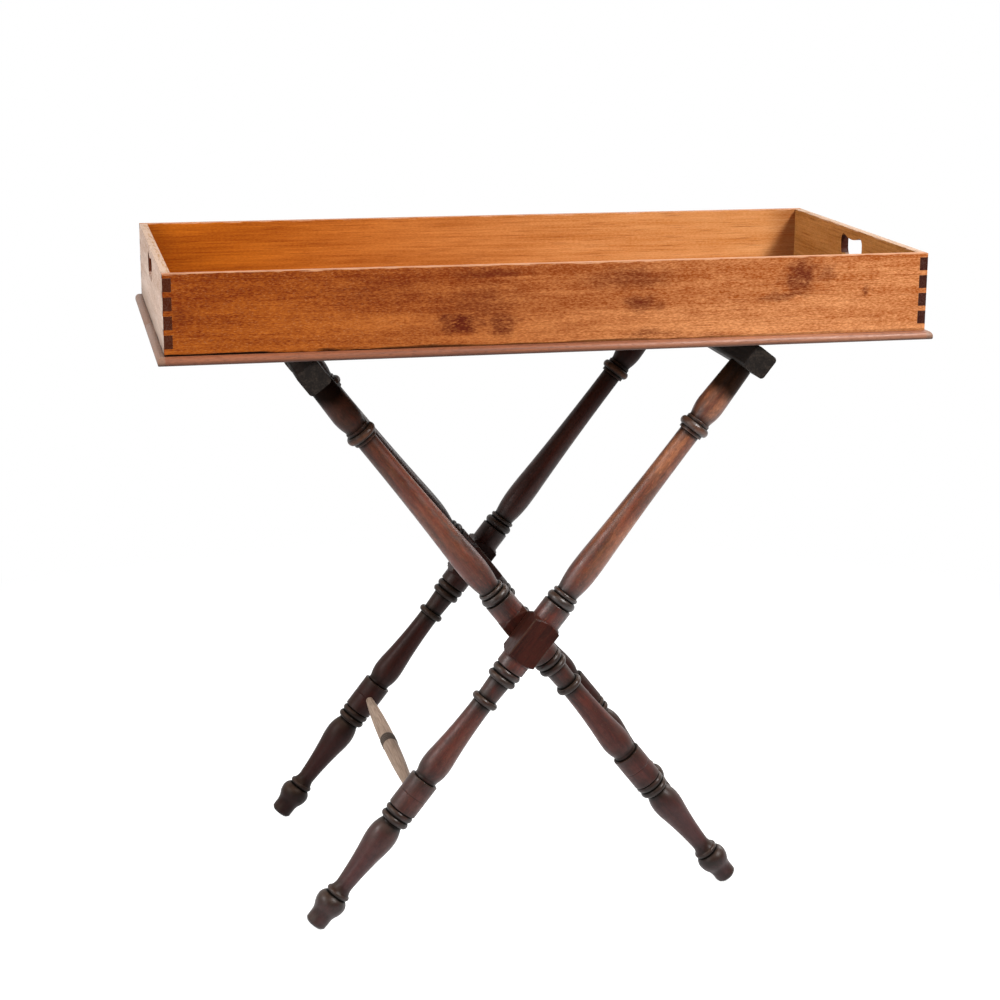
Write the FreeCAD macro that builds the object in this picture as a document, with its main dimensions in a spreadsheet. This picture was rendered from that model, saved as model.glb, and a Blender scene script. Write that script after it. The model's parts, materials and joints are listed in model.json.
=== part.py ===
"""Butler's tray table: a dovetailed tray lying on a folding stand of turned legs.

Millimetres, +Z up, +X to the right along the tray, the front towards -Y.
The origin lies on the floor under the middle of the tray.
"""
import FreeCAD, Part
import math
import os
import Sketcher
from types import SimpleNamespace

# Driving dimensions, in millimetres and degrees
SIZES = {
    # tray boards and their dovetails
    "tray_length": 914,
    "tray_width": 460,
    "side_height": 94,
    "side_thickness": 10,
    "top_half_pin": 5,
    "pin_width": 6,
    "tail_width": 15.6,
    "tail_flare": 1.3,
    # hand-holds, measured down from the top edge of the ends
    "handhold_width": 74,
    "handhold_lobe_radius": 9,
    "handhold_lobe_drop": 9,
    "handhold_bow_drop": 14,
    "handhold_bottom_drop": 40,
    "handhold_corner_radius": 13,
    # tray floor and its screws
    "floor_thickness": 10,
    "floor_lip": 8,
    "nose_top_radius": 6,
    "nose_bottom_radius": 2,
    "screw_dia": 3.5,
    "screw_length": 26,
    "screw_head_dia": 7,
    "screw_head_depth": 2.2,
    "screw_end_inset": 41,
    "screw_side_inset": 115,
    # stand: place of the crossing and lean of the legs
    "stand_offset": -19.5,
    "pivot_height": 357.7,
    "leg_tilt": 37.85,
    "leg_spread": 372,
    "upper_reach": 422,
    "foot_wear": 1.8,
    # square block at the crossing and its pivot pin
    "block_side": 38,
    "block_length": 60,
    "block_shoulder": 5,
    "block_gap": 0.4,
    "pin_dia": 10,
    "pin_outer_depth": 24,
    "pin_inner_depth": 28,
    # turnings above the block, from the block upwards
    "collar_dia": 37.6,
    "upper_collar_length": 24.5,
    "groove_length": 1.5,
    "groove_dia": 33.5,
    "upper_bead_length": 10,
    "upper_bead_dia": 38.6,
    "small_bead_length": 5,
    "small_bead_dia": 34.2,
    "neck_length": 3,
    "neck_dia": 28.4,
    "upper_swell_length": 32.5,
    "upper_belly_dia": 35.2,
    "upper_fall_length": 32,
    "upper_fall_dia": 33.4,
    "shank_dia": 25.9,
    "ring_fillet_length": 4.5,
    "ring_fillet_dia": 30.8,
    "ring_length": 10,
    "ring_dia": 39,
    "bulb_swell_length": 20,
    "bulb_dia": 34.6,
    "bulb_fall_length": 60,
    "leg_top_dia": 29.8,
    # turnings below the block, from the block downwards
    "lower_collar_length": 14,
    "first_bead_length": 9,
    "second_bead_length": 8,
    "lower_bead_dia": 38.5,
    "cone_length": 26.5,
    "cone_dia": 28.6,
    "lower_shank_dia": 26,
    "lower_ring_length": 8,
    "lower_ring_dia": 35.4,
    "lower_rise_dia": 34.7,
    "lower_swell_length": 16,
    "lower_belly_dia": 36.8,
    "lower_fall_length": 18,
    "lower_neck_length": 5,
    "lower_neck_dia": 30.2,
    "drum_length": 46.5,
    "drum_dia": 37.7,
    "drum_bead_length": 8,
    "drum_bead_dia": 37.8,
    "foot_swell_length": 20.5,
    "foot_belly_dia": 38.1,
    "foot_shoulder_length": 19,
    "foot_shoulder_dia": 34.2,
    "foot_hollow": 0.8,
    "ankle_dia": 22,
    "ankle_flare_length": 9.5,
    "ankle_flare_dia": 27.6,
    "ankle_ring_length": 5.5,
    "ankle_ring_dia": 31.4,
    "knob_root_dia": 27.6,
    "knob_rise_length": 10.5,
    "knob_dia": 39,
    "knob_fall_length": 12.5,
    "knob_fall_dia": 32,
    "foot_cove_length": 10,
    "foot_pad_dia": 27.6,
    "foot_pad_length": 9.4,
    "foot_round_length": 3,
    "foot_end_dia": 22,
    # rails and stretchers
    "rail_side": 31,
    "rail_length": 464,
    "rail_round": 5,
    "leg_tenon_dia": 18,
    "leg_tenon_length": 20,
    "stretcher_end_dia": 10,
    "stretcher_belly_dia": 19.6,
    "stretcher_ring_dia": 21,
    "stretcher_ring_length": 4.8,
    "stretcher_groove_dia": 17.6,
    "stretcher_tenon_length": 12,
    # webbing straps and their tacks
    "strap_width": 50,
    "strap_thickness": 1.5,
    "strap_spacing": 205,
    "strap_tail": 11,
    "tack_head_dia": 8,
    "tack_head_height": 2,
    "tack_shank_dia": 2,
    "tack_length": 10,
    "tack_pitch": 17,
    # clearances: running pin, glued or driven joint, soft strap on its rail
    "running_gap": 0.05,
    "joint_gap": 0.03,
    "strap_gap": 0.3,
}

# Fixed shares and counts
BEAD_CROWN_SHARE = 0.27
LOWER_TAPER_SHARE = 0.58
SCREWS_PER_SIDE = 5
TACKS_PER_STRAP_END = 3
HEAD_OVERLAP = 0.4
HOLE_END_ROOM = 0.5

X_AXIS = FreeCAD.Vector(1, 0, 0)
Y_AXIS = FreeCAD.Vector(0, 1, 0)


class Size:
    """A number together with the sheet expression that gives it."""

    def __init__(self, value, text):
        self.value = value
        self.text = text

    @staticmethod
    def of(number):
        return number if isinstance(number, Size) else Size(number, repr(number))

    def __add__(self, other):
        other = Size.of(other)
        return Size(self.value + other.value, f"({self.text} + {other.text})")

    def __sub__(self, other):
        other = Size.of(other)
        return Size(self.value - other.value, f"({self.text} - {other.text})")

    def __mul__(self, other):
        other = Size.of(other)
        return Size(self.value * other.value, f"({self.text} * {other.text})")

    def __truediv__(self, other):
        other = Size.of(other)
        return Size(self.value / other.value, f"({self.text} / {other.text})")

    def __neg__(self):
        return Size(-self.value, f"(-1 * {self.text})")

    def __radd__(self, other):
        return Size.of(other) + self

    def __rsub__(self, other):
        return Size.of(other) - self

    def __rmul__(self, other):
        return Size.of(other) * self


def sine(angle):
    return Size(math.sin(math.radians(angle.value)), f"sin({angle.text})")


def cosine(angle):
    return Size(math.cos(math.radians(angle.value)), f"cos({angle.text})")


def arc_sine(ratio):
    return Size(math.degrees(math.asin(ratio.value)), f"asin({ratio.text})")


def root(square):
    return Size(math.sqrt(square.value), f"sqrt({square.text})")


def bind(thing, name, size):
    """Bind a property of a document object to a sheet expression."""
    thing.setExpression(name, Size.of(size).text)


def place(thing, x, y, z, axis=None, angle=None):
    """Put an object at a bound point, turned about an axis by a bound angle."""
    point = FreeCAD.Vector(*(Size.of(v).value for v in (x, y, z)))
    turn = FreeCAD.Rotation(axis, Size.of(angle).value) if axis else FreeCAD.Rotation()
    thing.Placement = FreeCAD.Placement(point, turn)
    for name, size in (("x", x), ("y", y), ("z", z)):
        bind(thing, f"Placement.Base.{name}", size)
    if isinstance(angle, Size):
        bind(thing, "Placement.Rotation.Angle", angle)


doc = FreeCAD.newDocument("butlers_tray_table")
sheet = doc.addObject("Spreadsheet::Sheet", "Sizes")
for row, (alias, number) in enumerate(SIZES.items(), start=1):
    sheet.set(f"A{row}", alias)
    sheet.set(f"B{row}", str(number))
    sheet.setAlias(f"B{row}", alias)
doc.recompute()
size = SimpleNamespace(**{alias: Size(number, f"Sizes.{alias}") for alias, number in SIZES.items()})
nodes = []


# Places worked out from the driving dimensions

tilt_sine = sine(size.leg_tilt)
tilt_cosine = cosine(size.leg_tilt)
outer_leg_y = size.leg_spread / 2
inner_leg_y = outer_leg_y - size.block_side - size.block_gap
foot_reach = (size.pivot_height + size.foot_wear - size.foot_end_dia / 2 * tilt_sine) / tilt_cosine
rail_bottom = size.upper_reach + size.joint_gap
rail_half = size.rail_side / 2
rail_core = rail_half - size.rail_round
rail_top = rail_bottom + size.rail_side
# the rounded upper edge of each rail: its centre, from the pivot, on the outer frame's side
edge_x = (rail_top - size.rail_round) * tilt_sine - rail_core * tilt_cosine
edge_z = (rail_top - size.rail_round) * tilt_cosine + rail_core * tilt_sine
strap_inner_radius = size.rail_round + size.strap_gap
strap_outer_radius = strap_inner_radius + size.strap_thickness
floor_bottom = size.pivot_height + edge_z + strap_outer_radius + size.strap_gap
floor_top = floor_bottom + size.floor_thickness
board_half = size.side_thickness / 2
front_board_y = size.tray_width / 2 - board_half
end_board_x = size.tray_length / 2 - board_half


# Sketches and features

def new_body(label):
    body = doc.addObject("PartDesign::Body", label)
    body.Label = label
    return body


def new_sketch(body, plane_role):
    planes = {feature.Role: feature for feature in body.Origin.OriginFeatures}
    sketch = body.newObject("Sketcher::SketchObject", f"{body.Label}_outline")
    sketch.AttachmentSupport = [(planes[plane_role], "")]
    sketch.MapMode = "FlatFace"
    return sketch


def arc_by_height(chord_square, height):
    """Radius of an arc from the square of its chord and its height."""
    return (chord_square / 4 + height * height) / (2 * height)


def level_arc(length, rise):
    """Radius of an arc that is parallel to the length at one end and rises over it."""
    return (length * length + rise * rise) / (2 * rise)


def draw_outline(sketch, corners):
    """Closed outline through bound corners (x, y, arc).

    arc says how the outline goes on to the next corner: None is straight, and (side, radius) is an arc
    that swells to the right of the way drawn for side 1 and to its left for side -1.
    """
    first = sketch.GeometryCount
    points = [FreeCAD.Vector(Size.of(x).value, Size.of(y).value, 0) for x, y, _ in corners]
    edges = []
    starts = []
    for index, (_, _, arc) in enumerate(corners):
        begin = points[index]
        end = points[(index + 1) % len(points)]
        if arc is None:
            edges.append(Part.LineSegment(begin, end))
            starts.append(1)
            continue
        side, radius = arc
        along = end - begin
        half = along.Length / 2
        height = Size.of(radius).value - math.sqrt(max(Size.of(radius).value ** 2 - half ** 2, 0))
        right = FreeCAD.Vector(along.y, -along.x, 0).normalize()
        middle = (begin + end) * 0.5 + right * (side * height)
        if side > 0:
            edges.append(Part.Arc(begin, middle, end))
            starts.append(1)
        else:
            edges.append(Part.Arc(end, middle, begin))
            starts.append(2)
    sketch.addGeometry(edges, False)
    joints = []
    bound = []
    for index, (x, y, arc) in enumerate(corners):
        following = (index + 1) % len(corners)
        here = first + index
        ends = (here, 3 - starts[index], first + following, starts[following])
        joints.append(Sketcher.Constraint("Coincident", *ends))
        bound.append((Sketcher.Constraint("DistanceX", here, starts[index], points[index].x), x))
        bound.append((Sketcher.Constraint("DistanceY", here, starts[index], points[index].y), y))
        if arc is not None:
            bound.append((Sketcher.Constraint("Radius", here, Size.of(arc[1]).value), arc[1]))
    sketch.addConstraint(joints)
    numbers = sketch.addConstraint([constraint for constraint, _ in bound])
    for number, (_, value) in zip(numbers, bound):
        bind(sketch, f"Constraints[{number}]", value)


def box_corners(x_low, x_high, y_low, y_high):
    return [(x_low, y_low, None), (x_high, y_low, None), (x_high, y_high, None), (x_low, y_high, None)]


def pad(body, sketch, length):
    """Pad a sketch by half the length to each side of its plane."""
    feature = body.newObject("PartDesign::Pad", f"{body.Label}_pad")
    feature.Profile = sketch
    feature.SideType = "Symmetric"
    bind(feature, "Length", length)
    return feature


def revolve(body, sketch):
    """Turn a sketch about its vertical axis."""
    feature = body.newObject("PartDesign::Revolution", f"{body.Label}_turning")
    feature.Profile = sketch
    feature.ReferenceAxis = (sketch, ["V_Axis"])
    feature.Angle = 360
    return feature


def turn_away(body, sketch):
    """Cut away what a sketch sweeps when it is turned about its vertical axis."""
    feature = body.newObject("PartDesign::Groove", f"{body.Label}_groove")
    feature.Profile = sketch
    feature.ReferenceAxis = (sketch, ["V_Axis"])
    feature.Angle = 360
    return feature


def drill(body, radius, depth, x, y, z, axis=None, angle=None):
    """Bore a round hole that starts at a point and runs along the turned Z axis."""
    hole = body.newObject("PartDesign::SubtractiveCylinder", f"{body.Label}_hole")
    bind(hole, "Radius", radius)
    bind(hole, "Height", depth)
    place(hole, x, y, z, axis, angle)


def keep(thing):
    nodes.append(thing)
    return thing


# Turned profiles

class Turning:
    """A chain of turned shapes, outwards; each station is (radius, distance, arc to the next)."""

    def __init__(self, distance, dia):
        self.distance = distance
        self.radius = dia / 2
        self.stations = [[self.radius, self.distance, None]]

    def step(self, dia):
        """A square shoulder to another diameter."""
        self.radius = dia / 2
        self.stations.append([self.radius, self.distance, None])
        return self

    def run(self, length, dia, curve=None):
        """A stretch to another diameter: straight, or a round level at its thick or thin end."""
        radius = dia / 2
        if curve is not None:
            swell = 1 if curve == "round" else -1
            growing = radius.value > self.radius.value
            rise = radius - self.radius if growing else self.radius - radius
            self.stations[-1][2] = (swell, level_arc(length, rise))
        return self.run_end(length, dia)

    def hollow(self, length, dia, depth):
        """A stretch to another diameter that is hollowed by a depth."""
        change = dia / 2 - self.radius
        self.stations[-1][2] = (-1, arc_by_height(length * length + change * change, depth))
        return self.run_end(length, dia)

    def bead(self, length, dia):
        """A half-round bead on square shoulders."""
        crown = length * BEAD_CROWN_SHARE
        self.step(dia - 2 * crown)
        self.stations[-1][2] = (1, arc_by_height(length * length, crown))
        return self.run_end(length, dia - 2 * crown)

    def run_end(self, length, dia):
        self.distance = self.distance + length
        self.radius = dia / 2
        self.stations.append([self.radius, self.distance, None])
        return self

    def rising(self):
        """The stations in the order of rising distance."""
        return [tuple(station) for station in self.stations]

    def mirrored(self):
        """The same stations on the other side of zero, again in rising order."""
        arcs = [None] + [arc for _, _, arc in self.stations[:-1]]
        pairs = list(zip(self.stations, arcs))
        return [(radius, -distance, arc) for (radius, distance, _), arc in reversed(pairs)]


def upper_turning():
    """From the block up to the tenon in the rail."""
    chain = Turning(size.block_length / 2, size.collar_dia)
    chain.run(size.upper_collar_length, size.collar_dia)
    chain.step(size.groove_dia).run(size.groove_length, size.groove_dia)
    chain.bead(size.upper_bead_length, size.upper_bead_dia)
    inner_groove_dia = size.groove_dia - 2 * size.groove_length
    chain.step(inner_groove_dia).run(size.groove_length, inner_groove_dia)
    chain.bead(size.small_bead_length, size.small_bead_dia)
    chain.step(size.neck_dia).run(size.neck_length, size.neck_dia)
    chain.run(size.upper_swell_length, size.upper_belly_dia, "round")
    chain.run(size.upper_fall_length, size.upper_fall_dia, "round")
    above_shank = (2 * size.ring_fillet_length + size.ring_length + size.neck_length
                   + size.bulb_swell_length + size.bulb_fall_length)
    chain.run(size.upper_reach - above_shank - chain.distance, size.shank_dia, "hollow")
    chain.step(size.ring_fillet_dia).run(size.ring_fillet_length, size.ring_fillet_dia)
    chain.bead(size.ring_length, size.ring_dia)
    chain.step(size.ring_fillet_dia).run(size.ring_fillet_length, size.ring_fillet_dia)
    chain.step(size.neck_dia).run(size.neck_length, size.neck_dia)
    chain.run(size.bulb_swell_length, size.bulb_dia, "round")
    chain.run(size.bulb_fall_length, size.leg_top_dia)
    chain.step(size.leg_tenon_dia).run(size.leg_tenon_length, size.leg_tenon_dia)
    return chain


def lower_turning():
    """From the block down to the foot; returns the chain and the distance of the drum's middle."""
    chain = Turning(size.block_length / 2, size.collar_dia)
    chain.run(size.lower_collar_length, size.collar_dia)
    chain.step(size.groove_dia).run(size.groove_length, size.groove_dia)
    chain.bead(size.first_bead_length, size.lower_bead_dia)
    chain.step(size.groove_dia).run(size.groove_length, size.groove_dia)
    chain.bead(size.second_bead_length, size.lower_bead_dia)
    chain.step(size.cone_dia).run(size.cone_length, size.lower_shank_dia)
    chain.bead(size.lower_ring_length, size.lower_ring_dia)
    chain.step(size.lower_shank_dia)
    around_drum = (size.lower_swell_length + size.lower_fall_length + size.lower_neck_length
                   + size.drum_length + 2 * size.groove_length + 2 * size.drum_bead_length)
    around_foot = (size.neck_length + size.foot_swell_length + size.foot_shoulder_length
                   + size.ankle_flare_length + size.ankle_ring_length + size.groove_length
                   + size.knob_rise_length + size.knob_fall_length + size.foot_cove_length
                   + size.foot_pad_length + size.foot_round_length)
    both_tapers = foot_reach - chain.distance - around_drum - around_foot
    chain.run(both_tapers * LOWER_TAPER_SHARE, size.lower_rise_dia, "hollow")
    chain.run(size.lower_swell_length, size.lower_belly_dia, "round")
    chain.run(size.lower_fall_length, size.lower_neck_dia, "round")
    chain.run(size.lower_neck_length, size.lower_neck_dia)
    drum_middle = chain.distance + size.drum_length / 2
    chain.step(size.drum_dia).run(size.drum_length, size.drum_dia)
    for _ in range(2):
        chain.step(size.groove_dia).run(size.groove_length, size.groove_dia)
        chain.bead(size.drum_bead_length, size.drum_bead_dia)
    chain.step(size.neck_dia).run(size.neck_length, size.neck_dia)
    chain.run(size.foot_swell_length, size.foot_belly_dia, "round")
    chain.run(size.foot_shoulder_length, size.foot_shoulder_dia, "round")
    chain.hollow(both_tapers * (1 - LOWER_TAPER_SHARE), size.ankle_dia, size.foot_hollow)
    chain.run(size.ankle_flare_length, size.ankle_flare_dia, "hollow")
    chain.bead(size.ankle_ring_length, size.ankle_ring_dia)
    chain.step(size.knob_root_dia).run(size.groove_length, size.knob_root_dia)
    chain.run(size.knob_rise_length, size.knob_dia, "round")
    chain.run(size.knob_fall_length, size.knob_fall_dia, "round")
    chain.run(size.foot_cove_length, size.foot_pad_dia, "hollow")
    chain.run(size.foot_pad_length, size.foot_pad_dia)
    chain.run(size.foot_round_length, size.foot_end_dia)
    return chain, drum_middle


UPPER = upper_turning()
LOWER, DRUM_MIDDLE = lower_turning()


def on_axis(stations):
    """Half section through the stations, closed along the turning axis."""
    return [(0, stations[0][1], None), *stations, (0, stations[-1][1], None)]


def stand_place(thing, y, frame_side):
    """Put a piece drawn along its leg at the crossing, leaning as the outer (1) or inner (-1) frame."""
    place(thing, size.stand_offset, y, size.pivot_height, Y_AXIS * frame_side, size.leg_tilt)


def make_leg(label, frame_side, y, pin_side):
    """A leg: square block, turnings, pin hole on pin_side, stretcher socket and a worn flat on the foot."""
    blank = new_body(f"{label}_blank")
    half = size.block_side / 2
    square = new_sketch(blank, "XY_Plane")
    draw_outline(square, box_corners(-half, half, -half, half))
    pad(blank, square, size.block_length)
    # the lathe takes the corners off both ends of the block
    shoulders = new_sketch(blank, "XZ_Plane")
    end = size.block_length / 2
    for way in (1, -1):
        corners = [(half, end * way, None), (size.block_side, (end - size.block_shoulder * 2) * way, None),
                   (size.block_side, end * way, None)]
        draw_outline(shoulders, corners)
    turn_away(blank, shoulders)
    for stations in (UPPER.rising(), LOWER.mirrored()):
        turned = new_sketch(blank, "XZ_Plane")
        draw_outline(turned, on_axis(stations))
        revolve(blank, turned)
    outer = frame_side > 0
    pin_radius = size.pin_dia / 2 + (size.joint_gap if outer else size.running_gap)
    pin_depth = (size.pin_outer_depth if outer else size.pin_inner_depth) + HOLE_END_ROOM
    pin_mouth = (half + HOLE_END_ROOM) * pin_side
    drill(blank, pin_radius, pin_depth + HOLE_END_ROOM, 0, pin_mouth, 0, X_AXIS, 90 * pin_side)
    inward = -1 if y.value > 0 else 1
    socket_radius = size.stretcher_end_dia / 2 + size.joint_gap
    socket_mouth = size.drum_dia / 2 + HOLE_END_ROOM
    socket_depth = size.stretcher_tenon_length + 2 * HOLE_END_ROOM
    drill(blank, socket_radius, socket_depth, 0, socket_mouth * inward, -DRUM_MIDDLE, X_AXIS, 90 * inward)
    stand_place(blank, y, frame_side)
    ground = doc.addObject("Part::Box", f"{label}_ground")
    for name in ("Length", "Width", "Height"):
        bind(ground, name, size.block_side * 2)
    foot_x = size.stand_offset - foot_reach * tilt_sine * frame_side
    place(ground, foot_x - size.block_side, y - size.block_side, -(size.block_side * 2))
    leg = doc.addObject("Part::Cut", label)
    leg.Base = blank
    leg.Tool = ground
    leg.Label = label
    return keep(leg)


def strap_rows():
    """Y of each tack, for both straps."""
    rows = []
    for strap_side in (-1, 1):
        for index in range(TACKS_PER_STRAP_END):
            from_middle = index - (TACKS_PER_STRAP_END - 1) / 2
            rows.append(size.strap_spacing / 2 * strap_side + size.tack_pitch * from_middle)
    return rows


def make_rail(label, frame_side):
    """Square rail with rounded edges, mortised for both legs and bored for the tacks."""
    rail = new_body(label)
    section = new_sketch(rail, "XZ_Plane")
    low = rail_bottom
    middle = rail_bottom + rail_half
    rounded = (1, size.rail_round)
    corners = []
    for x_side, z_side in ((-1, -1), (1, -1), (1, 1), (-1, 1)):
        side_point = (rail_half * x_side, middle + rail_core * z_side)
        flat_point = (rail_core * x_side, middle + rail_half * z_side)
        pair = (side_point, flat_point) if x_side == z_side else (flat_point, side_point)
        corners += [(*pair[0], rounded), (*pair[1], None)]
    draw_outline(section, corners)
    pad(rail, section, size.rail_length)
    leg_y = outer_leg_y if frame_side > 0 else inner_leg_y
    for y in (-leg_y, leg_y):
        mortise_depth = size.leg_tenon_length + 2 * HOLE_END_ROOM
        drill(rail, size.leg_tenon_dia / 2 + size.joint_gap, mortise_depth, 0, y, low - HOLE_END_ROOM)
    tack_hole = size.tack_shank_dia / 2 + size.joint_gap
    tack_depth = size.tack_length + HOLE_END_ROOM
    for y in strap_rows():
        drill(rail, tack_hole, tack_depth, 0, y, rail_top - size.tack_length)
    stand_place(rail, 0, frame_side)
    return keep(rail)


def make_stretcher(label, frame_side):
    """Slim turned stretcher with four fine rings at its middle, its ends let into the drums."""
    stretcher = new_body(label)
    leg_y = outer_leg_y if frame_side > 0 else inner_leg_y
    tip = leg_y - size.drum_dia / 2 + size.stretcher_tenon_length
    bare = leg_y - size.drum_dia / 2
    groove_dia = size.stretcher_groove_dia
    half_chain = Turning(size.groove_length / 2, groove_dia)
    half_chain.bead(size.stretcher_ring_length, size.stretcher_ring_dia)
    half_chain.step(groove_dia).run(size.groove_length, groove_dia)
    half_chain.bead(size.stretcher_ring_length, size.stretcher_ring_dia)
    half_chain.step(size.stretcher_belly_dia)
    half_chain.run(bare - half_chain.distance, size.stretcher_end_dia, "round")
    half_chain.run(tip - bare, size.stretcher_end_dia)
    profile = new_sketch(stretcher, "XZ_Plane")
    draw_outline(profile, on_axis(half_chain.mirrored() + half_chain.rising()))
    revolve(stretcher, profile)
    x = size.stand_offset - DRUM_MIDDLE * tilt_sine * frame_side
    z = size.pivot_height - DRUM_MIDDLE * tilt_cosine
    place(stretcher, x, 0, z, X_AXIS, 90)
    return keep(stretcher)


def make_pivot_pin(label, y_side):
    """Steel pin, fixed in the outer block and running in the inner one."""
    pin = doc.addObject("Part::Cylinder", label)
    pin.Label = label
    bind(pin, "Radius", size.pin_dia / 2)
    bind(pin, "Height", size.pin_outer_depth + size.block_gap + size.pin_inner_depth)
    inner_end = inner_leg_y + size.block_side / 2 - size.pin_inner_depth
    place(pin, size.stand_offset, inner_end * y_side, size.pivot_height, X_AXIS, -90 * y_side)
    return keep(pin)


def make_tacks(label, frame_side):
    """Dome-headed tacks along a rail's upper face, over the strap ends."""
    head_radius = size.tack_head_dia / 2
    dome = arc_by_height(size.tack_head_dia * size.tack_head_dia, size.tack_head_height)
    under_head = rail_top + 2 * size.strap_gap + size.strap_thickness
    shank_start = rail_top - size.tack_length + HOLE_END_ROOM
    tacks = []
    for index, y in enumerate(strap_rows()):
        parts = []
        for shape, along in (("Part::Cylinder", shank_start),
                             ("Part::Sphere", under_head + size.tack_head_height - dome)):
            piece = doc.addObject(shape, f"{label}_piece_{index}")
            x = size.stand_offset + along * tilt_sine * frame_side
            z = size.pivot_height + along * tilt_cosine
            place(piece, x, y, z, Y_AXIS * frame_side, size.leg_tilt)
            parts.append(piece)
        shank, head = parts
        bind(shank, "Radius", size.tack_shank_dia / 2)
        bind(shank, "Height", under_head + HEAD_OVERLAP - shank_start)
        bind(head, "Radius", dome)
        bind(head, "Angle1", arc_sine(root(dome * dome - head_radius * head_radius) / dome))
        head.Angle2 = 90
        tack = doc.addObject("Part::Fuse", f"{label}_{index}")
        tack.Base = head
        tack.Tool = shank
        tacks.append(tack)
    group = doc.addObject("Part::Compound", label)
    group.Label = label
    group.Links = tacks
    return keep(group)


def strap_half(side, radius):
    """One half of a strap's face, at a radius about the rail's edges.

    From the top of the rail's upper edge, over its upper face and its outer edge, to the strap's end.
    """
    far_x = edge_x + 2 * rail_core * tilt_cosine
    far_z = edge_z - 2 * rail_core * tilt_sine
    points = [
        (edge_x, edge_z + radius),
        (edge_x + radius * tilt_sine, edge_z + radius * tilt_cosine),
        (far_x + radius * tilt_sine, far_z + radius * tilt_cosine),
        (far_x + radius * tilt_cosine, far_z - radius * tilt_sine),
        (far_x + radius * tilt_cosine - size.strap_tail * tilt_sine,
         far_z - radius * tilt_sine - size.strap_tail * tilt_cosine),
    ]
    return [(x * side, z) for x, z in points]


def strap_face(radius, swell):
    """A strap's whole face from its left end to its right end, as outline corners."""
    bend = (swell, radius)
    left = zip(reversed(strap_half(-1, radius)), (None, bend, None, bend, None))
    right = zip(strap_half(1, radius), (bend, None, bend, None, None))
    return [(*point, arc) for point, arc in [*left, *right]]


def make_strap(label, y_side):
    """Flat webbing strap over both rails, its ends wrapped round them and pierced by the tacks."""
    strap = new_body(label)
    outline = new_sketch(strap, "XZ_Plane")
    under = strap_face(strap_inner_radius, -1)
    over = [(-x, z, arc) for x, z, arc in strap_face(strap_outer_radius, 1)]
    corners = under + over
    draw_outline(outline, corners)
    pad(strap, outline, size.strap_width)
    rows = strap_rows()[:TACKS_PER_STRAP_END]
    for frame_side in (1, -1):
        x = rail_top * tilt_sine * frame_side
        z = rail_top * tilt_cosine
        for row in rows:
            depth = 2 * size.strap_gap + size.strap_thickness
            hole_y = row + size.strap_spacing / 2
            hole_radius = size.tack_shank_dia / 2 + size.strap_gap
            drill(strap, hole_radius, depth, x, hole_y, z, Y_AXIS * frame_side, size.leg_tilt)
    place(strap, size.stand_offset, size.strap_spacing / 2 * y_side, size.pivot_height)
    return keep(strap)


# Tray

def tail_middles():
    """Height of each dovetail's middle above the floor."""
    pitch = size.tail_width + size.pin_width
    highest = size.side_height - size.top_half_pin - size.tail_width / 2
    return [highest - pitch * index for index in (3, 2, 1, 0)]


def side_screw_places():
    """X of the screws along a long side, from one end inset to the other."""
    farthest = size.tray_length / 2 - size.screw_end_inset
    return [farthest * (2 * index / (SCREWS_PER_SIDE - 1) - 1) for index in range(SCREWS_PER_SIDE)]


def end_screw_place():
    """Y of the two screws in each end board."""
    return size.tray_width / 2 - size.screw_side_inset


def pilot(body, x, y):
    """Pilot hole for a floor screw, up into the lower edge of a board."""
    depth = size.screw_length - size.floor_thickness + HOLE_END_ROOM
    drill(body, size.screw_dia / 2 + size.joint_gap, depth, x, y, 0)


def make_pin_board(label, y_side):
    """Long side board: a core between the ends, and pins that run out through them."""
    board = new_body(label)
    core = new_sketch(board, "YZ_Plane")
    draw_outline(core, box_corners(-board_half, board_half, 0, size.side_height))
    pad(board, core, size.tray_length - 2 * (size.side_thickness + size.joint_gap))
    pins = new_sketch(board, "YZ_Plane")
    tip_half = size.tail_width / 2 + size.joint_gap
    base_half = tip_half - size.tail_flare
    outside = board_half * y_side
    edges = [(0, 0)]
    for middle in tail_middles():
        edges.append((middle - tip_half, middle - base_half))
        edges.append((middle + tip_half, middle + base_half))
    edges.append((size.side_height, size.side_height))
    for low, high in zip(edges[0::2], edges[1::2]):
        draw_outline(pins, [(outside, low[0], None), (outside, high[0], None),
                            (-outside, high[1], None), (-outside, low[1], None)])
    pad(board, pins, size.tray_length)
    for x in side_screw_places():
        pilot(board, x, 0)
    place(board, 0, front_board_y * y_side, floor_top)
    return keep(board)


def handhold_corners():
    """Two round lobes with a bow between them above, and a straight lower edge with round corners."""
    top = size.side_height
    half = size.handhold_width / 2
    lobe = size.handhold_lobe_radius
    lobe_y = half - lobe
    lobe_z = top - size.handhold_lobe_drop - lobe
    # the bow arc touches both lobes from above: its radius follows from the two drops
    drop = size.handhold_bow_drop - size.handhold_lobe_drop - lobe
    bow = (lobe_y * lobe_y + drop * drop - lobe * lobe) / (2 * (lobe + drop))
    bow_z = top - size.handhold_bow_drop + bow
    touch_share = bow / (bow + lobe)
    touch_y = lobe_y * touch_share
    touch_z = bow_z + (lobe_z - bow_z) * touch_share
    corner = size.handhold_corner_radius
    bottom = top - size.handhold_bottom_drop
    return [
        (-half + corner, bottom, None), (half - corner, bottom, (1, corner)),
        (half, bottom + corner, None), (half, lobe_z, (1, lobe)),
        (lobe_y, lobe_z + lobe, (1, lobe)), (touch_y, touch_z, (-1, bow)),
        (-touch_y, touch_z, (1, lobe)), (-lobe_y, lobe_z + lobe, (1, lobe)),
        (-half, lobe_z, None), (-half, bottom + corner, (1, corner)),
    ]


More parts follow.
